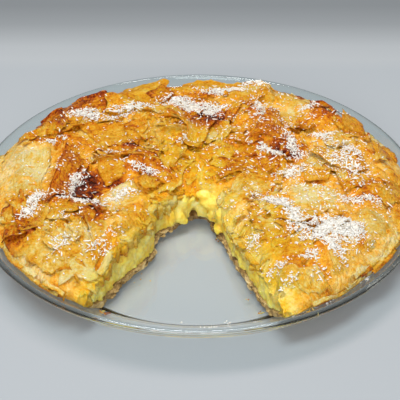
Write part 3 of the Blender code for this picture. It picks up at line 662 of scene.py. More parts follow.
# The lid's uneven outline at its widest, round the pie: angle from +X in degrees, radius in mm
OUTLINE = ((-180, -165, -154, -138, -125, -60, -45, -36, -20, 0, 9, 16, 22, 30, 40, 50, 60, 68,
            74, 80, 88, 95, 103, 111, 120, 130, 138, 150, 160, 170, 180),
           (130, 129.5, 127.5, 127.5, 125.5, 126.5, 126, 127, 129, 130.5, 131, 129.5, 128, 128.5,
            128, 126.5, 128.5, 130, 126.5, 125, 121.5, 119, 122, 127, 122.5, 126.5, 129.5, 130,
            131, 131, 130))

# Where custard has soaked up into the lid: x, y, radius in millimetres, share
SOAKED = (
    (0, 26, 22, 0.8), (4, 6, 14, 0.9), (-16, 40, 12, 0.6), (16, -34, 12, 0.8), (38, -72, 14, 0.8),
    (-24, -22, 12, 0.8), (-34, -44, 10, 0.7), (-48, -84, 9, 0.4),
    (-30, 90, 12, 0.4), (46, -44, 14, 0.5), (20, 34, 14, 0.4), (-50, -96, 10, 0.3),
)


def round_side(angle):
    """Where creases in the lid's side are drawn."""
    return CREASED_AT * np.cos(angle), CREASED_AT * np.sin(angle)


def pie_radius(angle):
    """The lid's uneven outline where it is widest, about 21 mm above the table."""
    outline = np.interp(np.degrees(angle), *OUTLINE, period=360) * MM
    return outline + 0.9 * MM * crumple(*round_side(angle), 0.017, 8)


def away_from(x, y, cx, cy, radius):
    """Distance from a spot given in mm, as a share of its radius."""
    return np.hypot(x - cx * MM, y - cy * MM) / (radius * MM)


def unit(degrees):
    """A heading's cosine and sine."""
    return math.cos(math.radians(degrees)), math.sin(math.radians(degrees))


def form_height(x, y):
    """The named hills and hollows of the lid."""
    total = np.zeros_like(x, dtype=float)
    for cx, cy, heading, half_length, half_width, height in LID_FORMS:
        c, s = unit(heading)
        dx, dy = x - cx * MM, y - cy * MM
        along = (dx * c + dy * s) / (half_length * MM)
        across = (dy * c - dx * s) / (half_width * MM)
        total += height * MM * np.exp(-0.5 * (along ** 4 + across ** 2))
    return total


def lid_depth(x, y):
    """Distance from the lid's edge out over the wedge; negative on the lid."""
    return wedge_depth(x, y, LID_TIP, -LID_INSETS[0], -LID_INSETS[1])


def lid_height(x, y):
    """Top of the crumpled lid down to folds of about a centimetre."""
    radius = np.hypot(x, y)
    shoulder = pie_radius(np.arctan2(y, x)) - SHOULDER_INSET
    inward = np.clip((shoulder - radius) / SHOULDER_ROUND, 0, 1)
    dome = 1 - (1 - inward) ** 2.2
    level = LID_SHOULDER + (LID_TOP - LID_SHOULDER) * dome - sag(x, y)[0]
    rough = 1.3 * MM * swell(x, y, 0.06, 31) + 3.3 * MM * crumple(x, y, 0.025, 41)
    rough = rough + 2.4 * MM * crumple(x, y, 0.0125, 51)
    wanted = level + rough * (0.35 + 0.65 * dome) + form_height(x, y) * (0.4 + 0.6 * dome)
    below = custard_height(x, y)
    thinned = np.where(x > 0, 0.85, 0.5) * ease(1 + lid_depth(x, y) / THINNED_REACH)
    thinned = thinned * ease((0.118 - radius) / 0.012)
    wanted = wanted + thinned * (below + SKIN - wanted)
    return np.maximum(wanted, below + LID_LEAST - (LID_LEAST - SKIN) * thinned)


def fold_lines(x, y, cell, seed):
    """1 on the straight creases of folded paper, falling to 0 beside them."""
    return np.clip(1 - np.abs(crumple(x, y, cell, seed)) / 0.09, 0, 1)


def fine_height(x, y):
    """The lid with its small folds and creases."""
    small = 0.8 * MM * crumple(x, y, 0.0062, 61) + 0.5 * MM * crumple(x, y, 0.003, 63)
    folds = 0.7 * MM * fold_lines(x, y, 0.026, 65) + 0.5 * MM * fold_lines(x, y, 0.015, 67)
    return lid_height(x, y) + small + folds


def baked_and_shaded_tone(x, y):
    """How far the lid is baked at a place, with painted shade in its hollows, from 0 to 1."""
    weight = np.full_like(x, 0.06)
    total = weight * (0.38 + 0.13 * swell(x, y, 0.05, 71))
    for cx, cy, radius, tone in TONES:
        share = np.exp(-1.1 * away_from(x, y, cx, cy, radius) ** 2)
        weight = weight + share
        total = total + share * tone
    beside = np.exp(-(np.minimum(lid_depth(x, y), 0) / 0.010) ** 2) * (x > 0)
    total = total / weight * (1 - 0.7 * beside)
    return total + 0.11 * crumple(x, y, 0.014, 73) + 0.12 * crumple(x, y, 0.005, 75)


def soak_share(x, y):
    """How far custard has soaked in at a place, from 0 to 1: always beside the cuts."""
    wide = np.where(x > 0, 0.010, 0.006)
    total = 0.9 * np.exp(-(np.minimum(lid_depth(x, y), 0) / wide) ** 2)
    for cx, cy, radius, share in SOAKED:
        total = np.maximum(total, share * np.exp(-away_from(x, y, cx, cy, radius) ** 2))
    return np.clip(total + 0.25 * swell(x, y, 0.012, 77) * (total > 0.2), 0, 1)


def dish_wall(z):
    """How far out a piece may reach at a height before it touches the dish's leaning wall."""
    return WALL_FOOT[0] + (z - WALL_FOOT[1]) * WALL_LEAN - 0.8 * MM


def side_ring(outline, shoulder, inset, share, seed):
    """A ring on the lid's outer side. share is its height between the edge and the shoulder."""
    place = round_side(TURNS)
    radius = outline - inset + 0.9 * MM * crumple(*place, 0.008, seed)
    z = LID_EDGE + (shoulder[:, 2] - LID_EDGE) * (share + 0.05 * crumple(*place, 0.012, seed + 1))
    return ring(np.clip(radius, LID_SKIRT, dish_wall(z)), z)


outline = pie_radius(TURNS)
shoulder = ring(outline - SHOULDER_INSET, 0)
shoulder[:, 2] = fine_height(shoulder[:, 0], shoulder[:, 1])
lid_rings = [shoulder]
for number, (inset, share) in enumerate(SIDE_PROFILE[1:-1]):
    lid_rings.append(side_ring(outline, shoulder, inset * MM, share, 300 + 3 * number))
lid_rings += [ring(*corner) for corner in LID_FOOT]
# Its inner side and its ceiling stand a hair off the custard
lid_rings += [ring(0.1177, custard_rings[1][:, 2] + GAP), edge + (0, 0, GAP)]
lid = layer_solid("filo_lid", lid_rings, scatter_inside(shoulder, LID_SPACING, fine_height, 62),
                  custard_top + (0, 0, GAP))
cut_out(lid, wedge_cutter("lid_cutter", LID_INSETS, LID_TIP, 1.4 * MM,
                          np.array(LID_LEVELS) * MM, 95))

# Creases are baked darker. Low on the side the lid is darker too, partly baked and partly painted
# shade.
# Streaks run along the layers at the cuts
x, y, z = points_of(lid).T
raised = np.clip((z - lid_height(x, y)) / (1.4 * MM), -1, 1)
low_side_bake_and_shade = np.clip((23 * MM - z) / (9 * MM), 0, 1) * (np.hypot(x, y) >= LID_SKIRT - 2 * MM)
set_attribute(lid, "bake", baked_and_shaded_tone(x, y) + 0.16 * np.clip(raised, -0.3, 1) + 0.12 * low_side_bake_and_shade)
bent = 6 * swell(x, y, 0.05, 79)
places = np.column_stack((x / MM + bent, 0.5 * y / MM - bent))
at_cut = (np.abs(lid_depth(x, y)) < 3 * MM) & (raised < -0.5)
places[at_cut] = np.column_stack((np.hypot(x - APEX[0], y - APEX[1]), 5 * z))[at_cut] / MM
set_grain(lid, places)
set_attribute(lid, "soak", soak_share(x, y))
cover(lid, filo)
bpy.ops.object.shade_smooth_by_angle(angle=math.radians(48))
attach(lid, "root")
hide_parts("pastry_top")

# ----------------------------------------------------------------- loose sheets of filo
# Torn sheets, thin as paper, that lie crumpled and pleated on the lid with their edges lifted
# and curled. Each is a small grid laid on the lid; the largest follow those of the real pie.
SHEET_GRID = 1.25 * MM
SHEET_WALL = 0.28 * MM
TUCK_DEPTH = 2.6                    # mm that a tucked side goes down into the lid
TUCK_REACH = 1.6                    # mm over which it does


def grid_faces(rows, columns):
    """Quads of a grid of points counted row by row."""
    i, j = np.meshgrid(np.arange(rows - 1), np.arange(columns - 1), indexing="ij")
    a = (i * columns + j).ravel()
    return np.column_stack((a, a + columns, a + columns + 1, a + 1))


class Heap:
    """Many small meshes gathered into one piece."""

    def __init__(self):
        self.points, self.faces, self.bake, self.grain, self.count = [], [], [], [], 0

    def add(self, points, faces, bake, grain=None):
        """Add one mesh. Its bake is one number, or one for each point."""
        self.points.append(points)
        self.grain.append(points[:, :2] / MM if grain is None else grain)
        self.faces.append(np.asarray(faces) + self.count)
        self.bake.append(np.broadcast_to(bake, len(points)))
        self.count += len(points)

    def add_sheet(self, rng, place, bake, grain, turn=1):
        """Add a grid from arrays of x, y and z, of bake and of the grain's two directions. With
        turn -1 its faces look the other way."""
        along, across = (np.broadcast_to(part, bake.shape).ravel() for part in grain)
        self.add(np.column_stack([part.ravel() for part in place]),
                 grid_faces(*bake.shape)[:, ::turn], bake.ravel(),
                 np.column_stack((along, across)) + rng.uniform(0, 900, 2))

    def build(self, name, material, wetness=0.85, wall=0):
        """Make the piece. wetness is how much it takes on of the lid's soaked places, and wall
        the thickness that its sheets are given."""
        faces = [face for block in self.faces for face in block.tolist()]
        piece = mesh_piece(name, np.vstack(self.points).tolist(), faces)
        x, y, _ = points_of(piece).T
        set_attribute(piece, "bake", np.concatenate(self.bake))
        set_attribute(piece, "soak", wetness * soak_share(x, y))
        set_grain(piece, np.vstack(self.grain))
        cover(piece, material)
        bpy.ops.object.shade_smooth()
        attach(piece, "root")
        if wall:
            modify(piece, "SOLIDIFY", {"thickness": wall, "offset": 0})
        return piece


def drape(x, y):
    """Where a loose sheet rests: the lid, its round side, and thin air over the wedge, but never
    in the glass."""
    radius = np.hypot(x, y)
    over = np.maximum(radius - pie_radius(np.arctan2(y, x)) + SHOULDER_INSET, 0) / MM
    fall = 4.5 * (np.minimum(over, 6) / 6) ** 1.6 + 1.6 * np.maximum(over - 6, 0)
    out = np.maximum(lid_depth(x, y), 0) / MM
    z = lid_height(x, y) - (fall + 0.5 * out + 0.22 * out ** 2) * MM
    return np.maximum(z, 5.2 * MM + 0.75 * np.maximum(radius - 0.111, 0))


def torn(distance, rng, step, amount):
    """A torn edge: a line broken every so often, with a fine ragged one on it, all in mm."""
    total = np.zeros_like(distance, dtype=float)
    for length, height in ((step, amount), (3.4, 0.9), (1.6, 0.5)):
        knots = np.arange(-length, distance.max() + 2 * length, length)
        total += np.interp(distance, knots, rng.uniform(-1, 1, knots.size) * height)
    return total


def fold_wave(x, y, rng, pitch):
    """Sharp parallel pleats, uneven in height and slightly bent: 0 to 1. Sizes in mm."""
    heading = rng.normal(0, 0.3)
    bend = 0.6 * swell(x * MM, y * MM, 0.022, int(rng.integers(9999)))
    phase = (x * math.sin(heading) + y * math.cos(heading)) / pitch + bend
    wave = 1 - np.abs(2 * (phase - np.floor(phase)) - 1)
    knots = rng.uniform(0, 1, 97)
    return wave * knots[np.floor(phase).astype(int) % 97]


def sheet(heap, rng, corners, tone, gap=0.6, curl=0, roll=0.3, pitch=3.2, pleat=0.9,
          blend=False):
    """One sheet over four corners given as x, y and lift in mm. curl is how far the last side
    is rolled up, in degrees, and roll the share of the sheet that is rolled. With blend the
    tone mostly follows that of the lid underneath. Sides that aren't lifted are tucked in."""
    corners = np.array(corners, dtype=float)
    length, width = (0.5 * sum(np.hypot(*(corners[a] - corners[b])[:2]) for a, b in pairs)
                     for pairs in (((0, 1), (3, 2)), ((0, 3), (1, 2))))
    rows = max(4, int(length * MM / SHEET_GRID)) + 1
    columns = max(4, int(width * MM / SHEET_GRID)) + 1
    u, v = np.meshgrid(np.linspace(0, 1, rows), np.linspace(0, 1, columns), indexing="ij")
    wild = 1.0 if blend else min(1.0, 0.25 + pleat)
    side, end = min(0.2 * width, 2.6 * wild), min(0.2 * length, 2.6 * wild)
    near, far = (torn(v * width, rng, 6.5, end) / length for _ in range(2))
    low, high = (torn(u * length, rng, 8.0, side) / width for _ in range(2))
    s = u + (near * (1 - u) + far * u) * (1 - (2 * v - 1) ** 4)
    t = v + (low * (1 - v) + high * v) * (1 - (2 * u - 1) ** 4)
    rise = np.zeros_like(s)
    if curl:
        bend = roll / math.radians(curl)
        turned = np.maximum(t - (1 - roll), 0) / bend
        t = np.where(turned > 0, 1 - roll + bend * np.sin(turned), t)
        rise = bend * (1 - np.cos(turned)) * width
    weights = ((1 - s) * (1 - t), s * (1 - t), s * t, (1 - s) * t)
    spots = sum(w[..., None] * corner for w, corner in zip(weights, corners))
    x, y, lift = spots.transpose(2, 0, 1)
    folds = fold_wave(u * length, v * width, rng, pitch) * pleat
    x, y = x * MM, y * MM
    creased = crumple(x, y, 0.011, int(rng.integers(9999)))
    small = crumple(x, y, 0.0042, int(rng.integers(9999)))
    calm = min(1, 0.3 + 1.5 * pleat)
    z = drape(x, y) / MM + lift + rise + gap + folds + (0.9 * creased + 0.6 * small) * calm
    sides = ((0, 3, u * length), (1, 2, (1 - u) * length), (0, 1, v * width),
             (2, 3, (1 - v) * width))
    edge_bake_and_glow, tuck = np.zeros_like(z), np.zeros_like(z)
    for a, b, inwards in sides:
        if corners[a, 2] + corners[b, 2] > (1.1 if blend else 0.8) or (curl and a == 2):
            edge_bake_and_glow = np.maximum(edge_bake_and_glow, np.exp(-inwards / 1.1))
        else:
            tuck = np.maximum(tuck, np.exp(-inwards / TUCK_REACH))
    z = z - TUCK_DEPTH * tuck
    # Free edges: baked darker on well-baked sheets; on pale sheets lightened, a painted glow of
    # light through the thin edge.
    bake = tone + (0.12 if tone > 0.45 else -0.08) * edge_bake_and_glow + 0.2 * (folds - 0.3)
    bake = bake + (0.13 * creased + 0.14 * small) * calm
    if blend:
        bake = 0.2 * tone + 0.8 * baked_and_shaded_tone(x, y) + bake - tone
    heap.add_sheet(rng, (x, y, z * MM), bake, (u * length, v * width))


def loose_corners(rng, x, y, heading, length, width):
    """Corners of an uneven four-sided sheet round a point."""
    c, w = math.cos(heading), math.sin(heading)
    corners = []
    for a, b in ((-1, -1), (1, -1), (1, 1), (-1, 1)):
        along = 0.5 * length * (a + rng.uniform(-0.3, 0.3))
        across = 0.5 * width * (b + rng.uniform(-0.35, 0.35))
        lift = rng.exponential(1.5) * (rng.random() < 0.45)
        corners.append((x + along * c - across * w, y + along * w + across * c, min(lift, 5)))
    return corners


# Sheets of the real pie: four corners as x, y, lift in mm; tone; curl in degrees; pleat in mm
NAMED_SHEETS = (
    (((-119, -10, 0), (-122, 31, 0), (-94, 25, 1), (-96, -24, 0.5)), 0.07, 0, 0.4),
    (((-91, -40, 2.8), (-84, 24, 5.0), (-72, 10, 1.0), (-77, -22, 0.6)), 0.68, 0, 0.05),
    (((-98, 37, 1), (-118, 39, 1), (-117, 44, 2.5), (-94, 50, 3)), 0.46, 40, 0.2),
    (((-88, 40, 0.5), (-98, 38, 1.5), (-95, 50, 3), (-79, 56, 1.5)), 0.50, 0, 0.3),
    (((-94, 31, 0), (-110, 29, 0), (-105, 36, 0.5), (-92, 37, 0.5)), 0.66, 0, 0.4),
    (((-62, 31, 0.5), (-43, 38, 1), (-49, 55, 2.5), (-79, 55, 1.5)), 0.47, 40, 0.2),
    (((-90, 60, 0.5), (-104, 63, 0), (-107, 75, 1.5), (-92, 80, 3.5)), 0.60, 50, 0.7),
    (((-80, 66, 0.5), (-96, 66, 0.5), (-93, 86, 4.5), (-74, 82, 2.5)), 0.64, 0, 0.6),
    (((-60, 70, 0.5), (-78, 68, 0.5), (-87, 88, 4.0), (-62, 83, 3)), 0.70, 60, 0.5),
    (((-62, 78, 0), (-28, 80, 0.5), (-20, 108, 1), (-52, 113, 1)), 0.44, 50, 0.4),
    (((-36, 92, 0.5), (-24, 84, 0.5), (-16, 92, 2), (-26, 104, 2)), 0.62, 0, 0.4),
    (((-24, 96, 0), (32, 94, 0), (38, 114, 0.5), (-10, 113, 1)), 0.42, 60, 0.4),
    (((18, 84, 0), (50, 80, 0), (50, 104, 1), (30, 110, 1)), 0.40, 40, 0.5),
    (((-21, 4, 0), (-45, 5, 0.5), (-38, 21, 3.5), (-24, 10, 2)), 0.72, 0, 0.1),
    (((-44, -5, 0.5), (-57, -11, 0.5), (-64, 2, 2), (-49, 6, 2)), 0.50, 150, 0.2),
    (((-34, 22, 0), (-14, 22, 0), (-14, 54, 0.5), (-34, 56, 0.5)), 0.26, 0, 0.7),
    (((33, 34, 0.5), (57, 35, 0.5), (52, 61, 4), (48, 62, 5)), 0.66, 0, 0.1),
    (((66, 10, 0.5), (71, -5, 1), (82, 11, 1.5), (77, 28, 3)), 0.12, 0, 0.2),
    (((65, -6, 0.5), (79, -11, 0.5), (84, -2, 2), (67, 6, 3)), 0.40, 60, 0.3),
    (((94, 54, 0), (111, 57, 0), (109, 69, 7), (95, 66, 7)), 0.50, 0, 0.1),
    (((74, 72, 0.5), (90, 64, 0.5), (99, 72, 4), (74, 80, 2)), 0.76, 70, 0.4),
    (((52, 60, 0), (72, 60, 0), (76, 94, 0.5), (51, 93, 0.5)), 0.22, 0, 0.4),
    (((10, -3, 0), (10, 15, 0.5), (54, 16, 0.5), (52, -3, 0)), 0.54, 0, 0.8),
    (((24, -26, 0), (50, -27, 0.5), (51, -4, 0.5), (25, -4, 0.5)), 0.26, 0, 0.5),
    (((54, -36, 0), (83, -40, 0), (86, -12, 0.5), (52, -9, 0.5)), 0.14, 0, 0.4),
    (((90, -64, 0), (113, -55, 0), (116, -36, 0.5), (92, -38, 0.5)), 0.14, 0, 0.3),
    (((52, -96, 0.4), (61, -107, 0.9), (74, -103, 1.6), (66, -92, 1.4)), 0.12, 0, 0.15),
    (((64, -94, 0), (76, -97, 0), (88, -86, 0.5), (74, -80, 0.5)), 0.20, 0, 0.4),
    (((44, -100, 0), (56, -108, 0), (58, -98, 1), (46, -92, 1)), 0.08, 50, 0.8),
    (((-86, -64, 0.2), (-67, -48, 0.5), (-50, -59, 0.5), (-60, -84, 0.5)), 0.14, 0, 0.6),
    (((-119, -30, 0), (-104, -34, 1.5), (-100, -62, 0.5), (-116, -56, 0)), 0.60, 60, 0.6),
    (((-72, -40, 1), (-60, -46, 1), (-62, -60, 0.5), (-70, -50, 0.5)), 0.64, 0, 0.3),
    (((-79, -75, 0.3), (-57, -76, 0.6), (-57, -94, 1.6), (-78, -98, 3.0)), 0.14, 0, 0.5),
    (((-55, -19, 0.5), (-39, -13, 1), (-35, -28, 0.5), (-52, -33, 0.5)), 0.06, 0, 0.2),
    (((77, 38, 0.5), (86, 54, 0.5), (106, 52, 0), (109, 31, 0)), 0.30, 0, 0.6),
    (((100, -22, 0.5), (112, -26, 0), (120, -8, 0), (104, -6, 0.5)), 0.44, 0, 1.0),
)
SHEET_COUNT = 105
SCRAP_COUNT = 620
TURNED_FROM = 88                    # mm from the middle: further out, sheets lie round the pie
BARER_SIDE = 5                      # mm from the middle to the right: fewer sheets lie there


def covers(corners, x, y):
    """Whether a point lies inside four corners."""
    turns = [(b[0] - a[0]) * (y - a[1]) - (b[1] - a[1]) * (x - a[0])
             for a, b in zip(corners, corners[1:] + corners[:1])]
    return min(turns) > 0 or max(turns) < 0


def strewn(heap, rng, count, lengths, widths, reach, overhang, bare):
    """Lay sheets at drawn places, none of them on the bare sheets, whose corners are given, nor
    further out over the wedge than overhang mm."""
    placed = 0
    while placed < count:
        radius, turn = reach * math.sqrt(rng.random()), rng.uniform(0, 2 * math.pi)
        x, y = radius * math.cos(turn), radius * math.sin(turn)
        heading = (rng.uniform(0, 2 * math.pi) if radius < TURNED_FROM
                   else turn + 1.57 + rng.normal(0, 0.4))
        corners = loose_corners(rng, x, y, heading, rng.uniform(*lengths), rng.uniform(*widths))
        place = np.array(corners)[:, :2] * MM
        if lid_depth(place[:, 0], place[:, 1]).max() > overhang * MM:
            continue
        if x > BARER_SIDE and rng.random() < 0.5:
            continue
        spots = [(x, y)] + [corner[:2] for corner in corners]
        if any(covers(quad, *spot) for quad in bare for spot in spots):
            continue
        placed += 1
        curl = int(rng.choice((0, 0, 0, 0, 60, 110)))
        sheet(heap, rng, corners, rng.uniform(0.15, 0.6), rng.uniform(-0.4, 0.5), curl,
              rng.uniform(0.15, 0.4), rng.uniform(2.2, 5.0), rng.uniform(0.3, 1.3), True)


sheets = Heap()
rng = np.random.default_rng(2024)
smooth = [named[0] for named in NAMED_SHEETS if named[3] < 0.5]
strewn(sheets, rng, SHEET_COUNT, (14, 40), (8, 20), 119, 1, smooth)
for corners, tone, curl, pleat in NAMED_SHEETS:
    pale = tone < 0.35
    sheet(sheets, rng, corners, tone, 0.3 if pale else 0.6, curl, pleat=pleat, blend=pale)
loose = sheets.build("filo_sheets", filo, wall=SHEET_WALL)
scraps = Heap()
strewn(scraps, rng, SCRAP_COUNT, (2.5, 9), (2, 6), 120, 1.5, smooth)
flakes = scraps.build("filo_scraps", filo, wall=SHEET_WALL)

# --------------------------------------------------------------- torn layers at the cuts
# Along both cuts the layers of filo are torn: their edges stand out and hang over the custard.
# Each is a ragged strip along the cut, rooted inside the pie; the bottom crust has its own.
STRIP_ROOT = 3.5                    # mm that a strip starts behind the cut
STRIP_STEP = 1.1                    # mm between its points


def cut_strip(heap, rng, side, start, end, level, reach, droop, tone, top=True):
    """A strip along the right (1) or left (-1) cut, from start to end in mm from the cuts'
    meeting point. level is its depth under the lid's top, or its height over the table."""
    cut = RIGHT_CUT if side > 0 else LEFT_CUT
    direction = np.array((math.cos(cut), math.sin(cut)))
    normal = side * np.array((math.sin(cut), -math.cos(cut)))
    rows = max(5, int((end - start) / STRIP_STEP)) + 1
    columns = 6 + int(droop / STRIP_STEP)
    u, v = np.meshgrid(np.linspace(start, end, rows), np.linspace(0, 1, columns), indexing="ij")
    fade = np.clip(4 * np.minimum(u - start, end - u) / (end - start), 0, 1) ** 0.5
    inset = LID_INSETS[(side + 1) // 2] if top else CRUST_INSET
    root = (bend_of(u * MM, side) + inset) / MM - STRIP_ROOT
    wave = crumple(u * MM, (v * droop + 9 * v) * MM, 0.0052, int(rng.integers(9999)))
    over = np.sin(0.5 * math.pi * np.clip(2 * v, 0, 1))
    tear = torn(u - start, rng, 2.6, 0.5)
    out = root + (STRIP_ROOT + reach * (1 + tear) * fade) * over + 0.8 * wave * v
    (x, y), inside = ((APEX / MM + u[..., None] * direction + away[..., None] * normal)
                      .transpose(2, 0, 1) * MM for away in (out, root))
    height = lid_height(*inside) / MM - level if top else level
    hang = droop * (1 + 0.35 * tear) * fade * np.maximum(v - 0.35, 0) / 0.65
    z = np.maximum(height - hang + 0.4 * wave, 4.6) * MM
    heap.add_sheet(rng, (x, y, z), tone + 0.16 * v ** 3 + 0.15 * wave, (u, (8 + droop) * v))


torn_edges = Heap()
rng = np.random.default_rng(515)
for side, count, longest, fall in ((-1, 64, 1.8, 8.0), (1, 16, 0.9, 3.0)):
    for _ in range(count):
        start = rng.uniform(18 if side < 0 else 30, 104)
        droop = rng.uniform(0.1, 1) * fall
        cut_strip(torn_edges, rng, side, start, start + rng.uniform(5, 18), rng.uniform(0, 4),
                  rng.uniform(0.3, longest), droop, rng.uniform(0.0, 0.45))
torn_edges.build("torn_edges", filo, 0.5, SHEET_WALL)
crust_edges = Heap()
for side in (-1, 1):
    for _ in range(40):
        start = rng.uniform(20, 104)
        cut_strip(crust_edges, rng, side, start, start + rng.uniform(4, 12), rng.uniform(4.9, 7.6),
                  rng.uniform(0.1, 1.1), rng.uniform(0, 1.5), rng.uniform(0.1, 0.9), False)
crust_edges.build("crust_edges", soaked, wall=SHEET_WALL)

# ------------------------------------------------------------------ folds round the side
# Where the sheets were tucked in, their folded edges lie round the pie's side like pages.
# Each fold is a long low strip that follows the side, and its lower edge stands off the most.
SIDE_FOLDS = 190
FOLD_ENDS = (-67, -123.5)           # where they stop at the two cuts, in degrees from +X
SIDE_REACH = 0.127                  # their length is measured round a circle of this radius


def side_fold(heap, rng, turn, length, low, high, flare, tone):
    """A strip round the side between two shares of its height. flare is how far its lower
    edge is bent outwards, in mm."""
    rows = max(6, int(length * MM / SHEET_GRID)) + 1
    columns = max(4, int(18 * (high - low))) + 1
    u = np.linspace(-1, 1, rows)[:, None]
    v = np.linspace(0, 1, columns)[None, :]
    seeds = rng.integers(0, 10000, 4)
    along = u * length * 0.5 * MM
    around = turn + u * 0.5 * length * MM / SIDE_REACH + 0 * v
    share = (low + ragged(along, 0.05, seeds[0])) * (1 - v)
    share = share + (high + ragged(along, 0.04, seeds[1])) * v
    share = np.clip(share + 0.10 * np.sin(u * 1.5 + seeds[2]), 0.02, 1.05)
    insets, shares = np.array(SIDE_PROFILE[::-1]).T
    inset = np.interp(share, shares, insets) * MM
    outline = pie_radius(around)
    x, y = round_side(around)
    wrinkle = crumple(x + share * 0.02, y, 0.009, int(seeds[3]))
    off = (0.5 + flare * (1 - v) ** 1.5 + 0.5 * wrinkle) * MM
    c, s = np.cos(around), np.sin(around)
    rim = outline - SHOULDER_INSET
    z = LID_EDGE + (lid_height(rim * c, rim * s) - LID_EDGE) * share
    radius = np.minimum(np.maximum(outline - inset, LID_SKIRT) + off, dish_wall(z))
    # Each fold is darker along its lower edge, a painted shadow like that between pages, and darker
    # low on the side, partly baked and partly painted shade.
    bake = tone + 0.30 * (1 - v) ** 4 + 0.14 * (1 - share) ** 2 + 0.14 * wrinkle + 0 * u
    heap.add_sheet(rng, (radius * c, radius * s, z), bake, (u * 0.5 * length, 12 * share), -1)


folds = Heap()
rng = np.random.default_rng(77)
first, last = np.radians(FOLD_ENDS) + (0, 2 * math.pi)
for _ in range(SIDE_FOLDS):
    length = rng.uniform(12, 46)
    half = 0.5 * length * MM / SIDE_REACH
    turn = rng.uniform(first + half, last - half)
    low = rng.uniform(0.0, 0.7)
    rim = 0.112 * np.array((math.cos(turn), math.sin(turn)))
    tone = 0.42 * float(baked_and_shaded_tone(rim[:1], rim[1:])[0]) + rng.choice((-0.14, -0.04, 0.06, 0.38))
    side_fold(folds, rng, turn, length, low, low + rng.uniform(0.08, 0.28),
              rng.exponential(2.6), tone)
folds.build("side_folds", filo, wall=SHEET_WALL)

# ------------------------------------------------------------------- shredded coconut
# Desiccated coconut, dried white shreds a few millimetres long, strewn in heaps and singly.
# Each shred is a thin bent strip; they are gathered into one piece.
COCONUT_HEAPS = (
    # x, y, heading, half length, half width in mm, grains
    (75, -63, 6, 15, 9, 1900), (88, -60, 40, 8, 7, 420), (54, -42, -66, 11, 4, 460),
    (58, -56, -40, 7, 5, 280), (78, -77, -60, 8, 4, 240), (63, -85, 10, 5, 3, 100),
    (-75, 66, 4, 9, 4, 380), (-47, 71, 16, 14, 3.5, 400), (-10, 82, -18, 12, 4.5, 640),
    (6, 76, -8, 9, 4.5, 520), (16, 95, -6, 13, 3, 360), (36, 106, -16, 10, 5, 180),
    (40, 76, -75, 10, 4, 170), (44, 62, 0, 6, 3, 110), (-97, -27, 70, 7, 4, 220),
    (-101, -37, 20, 6, 4, 160), (-75, -11, 62, 8, 3.5, 260), (-68, -33, -8, 14, 2.5, 260),
    (-34, 1, -10, 9, 2.5, 170), (-47, -24, 10, 8, 3.5, 160),
    (-92, 34, 20, 7, 2.5, 110), (-58, 25, 0, 6, 2, 70), (-10, 33, 0, 3, 2, 50),
    (46, 23, -15, 9, 3.5, 230), (61, 33, -70, 9, 4, 240), (81, 42, -40, 8, 3.5, 150),
    (73, 76, 0, 6, 3, 90), (92, 4, -50, 15, 8, 380), (96, 22, -60, 12, 6, 230),
    (58, 0, 10, 10, 3.5, 220), (44, -28, -30, 11, 3.5, 230), (98, -26, -25, 14, 4, 260),
    (70, -94, 10, 12, 4, 50), (60, 40, 0, 45, 45, 700), (74, -26, 0, 42, 40, 560),
    (-60, 20, 0, 45, 60, 420), (-70, -60, 0, 32, 32, 200), (10, -4, 0, 60, 32, 260),
    (20, 60, 0, 60, 35, 320), (34, -50, 0, 22, 30, 110), (-78, -51, 20, 7, 4, 50),
    (-77, -72, 0, 7, 5, 80), (-56, -77, 20, 7, 5, 120), (-44, -65, 30, 6, 3, 50),
    (32, -64, -70, 8, 3, 90), (44, -89, 10, 7, 4, 120), (50, -100, 0, 4, 3, 40),
)
COCONUT_TALLEST = 1.8               # mm, the thickest that a heap is
SHRED_SHARE = 0.16                  # the share of pieces that are long shreds


def top_of(trees, x, y):
    """Where the uppermost surface lies under a point, by a ray from above."""
    hits = [tree.ray_cast((x, y, 0.06), (0, 0, -1))[0] for tree in trees]
    heights = [hit.z for hit in hits if hit is not None]
    return max(heights) if heights else None


def shred(heap, rng, x, y, z):
    """One long bent strip of coconut."""
    length = (1.8 + min(rng.exponential(0.9), 3.0)) * MM
    wide, thick = rng.uniform(0.8, 1.2) * MM, rng.uniform(0.4, 0.7) * MM
    turn, pitch = rng.uniform(0, 2 * math.pi), rng.normal(0, 0.3)
    bend = rng.uniform(-0.45, 0.45) * length
    u = np.array((-0.5, -0.15, 0.2, 0.5)) * length
    across = bend * (np.array((0.25, 0.02, 0.04, 0.25)) - 0.14)
    size = np.array((0.6, 1.0, 0.9, 0.5))
    c, s = math.cos(turn), math.sin(turn)
    rings = []
    for side, up in ((-0.5, 0.0), (0.5, 0.0), (0.0, 1.0)):
        v = across + side * wide * size
        pz = z + u * math.sin(pitch) + up * thick * size
        rings.append(np.column_stack((x + u * c - v * s, y + u * s + v * c, pz)))
    points = np.stack(rings, 1).reshape(-1, 3)
    faces = []
    for k in range(3):
        a = 3 * k
        for m, n in ((0, 1), (1, 2), (2, 0)):
            faces.append((a + m, a + n, a + 3 + n))
            faces.append((a + m, a + 3 + n, a + 3 + m))
    faces += [(0, 2, 1), (9, 10, 11)]
    heap.add(points, faces, rng.uniform(0, 1))


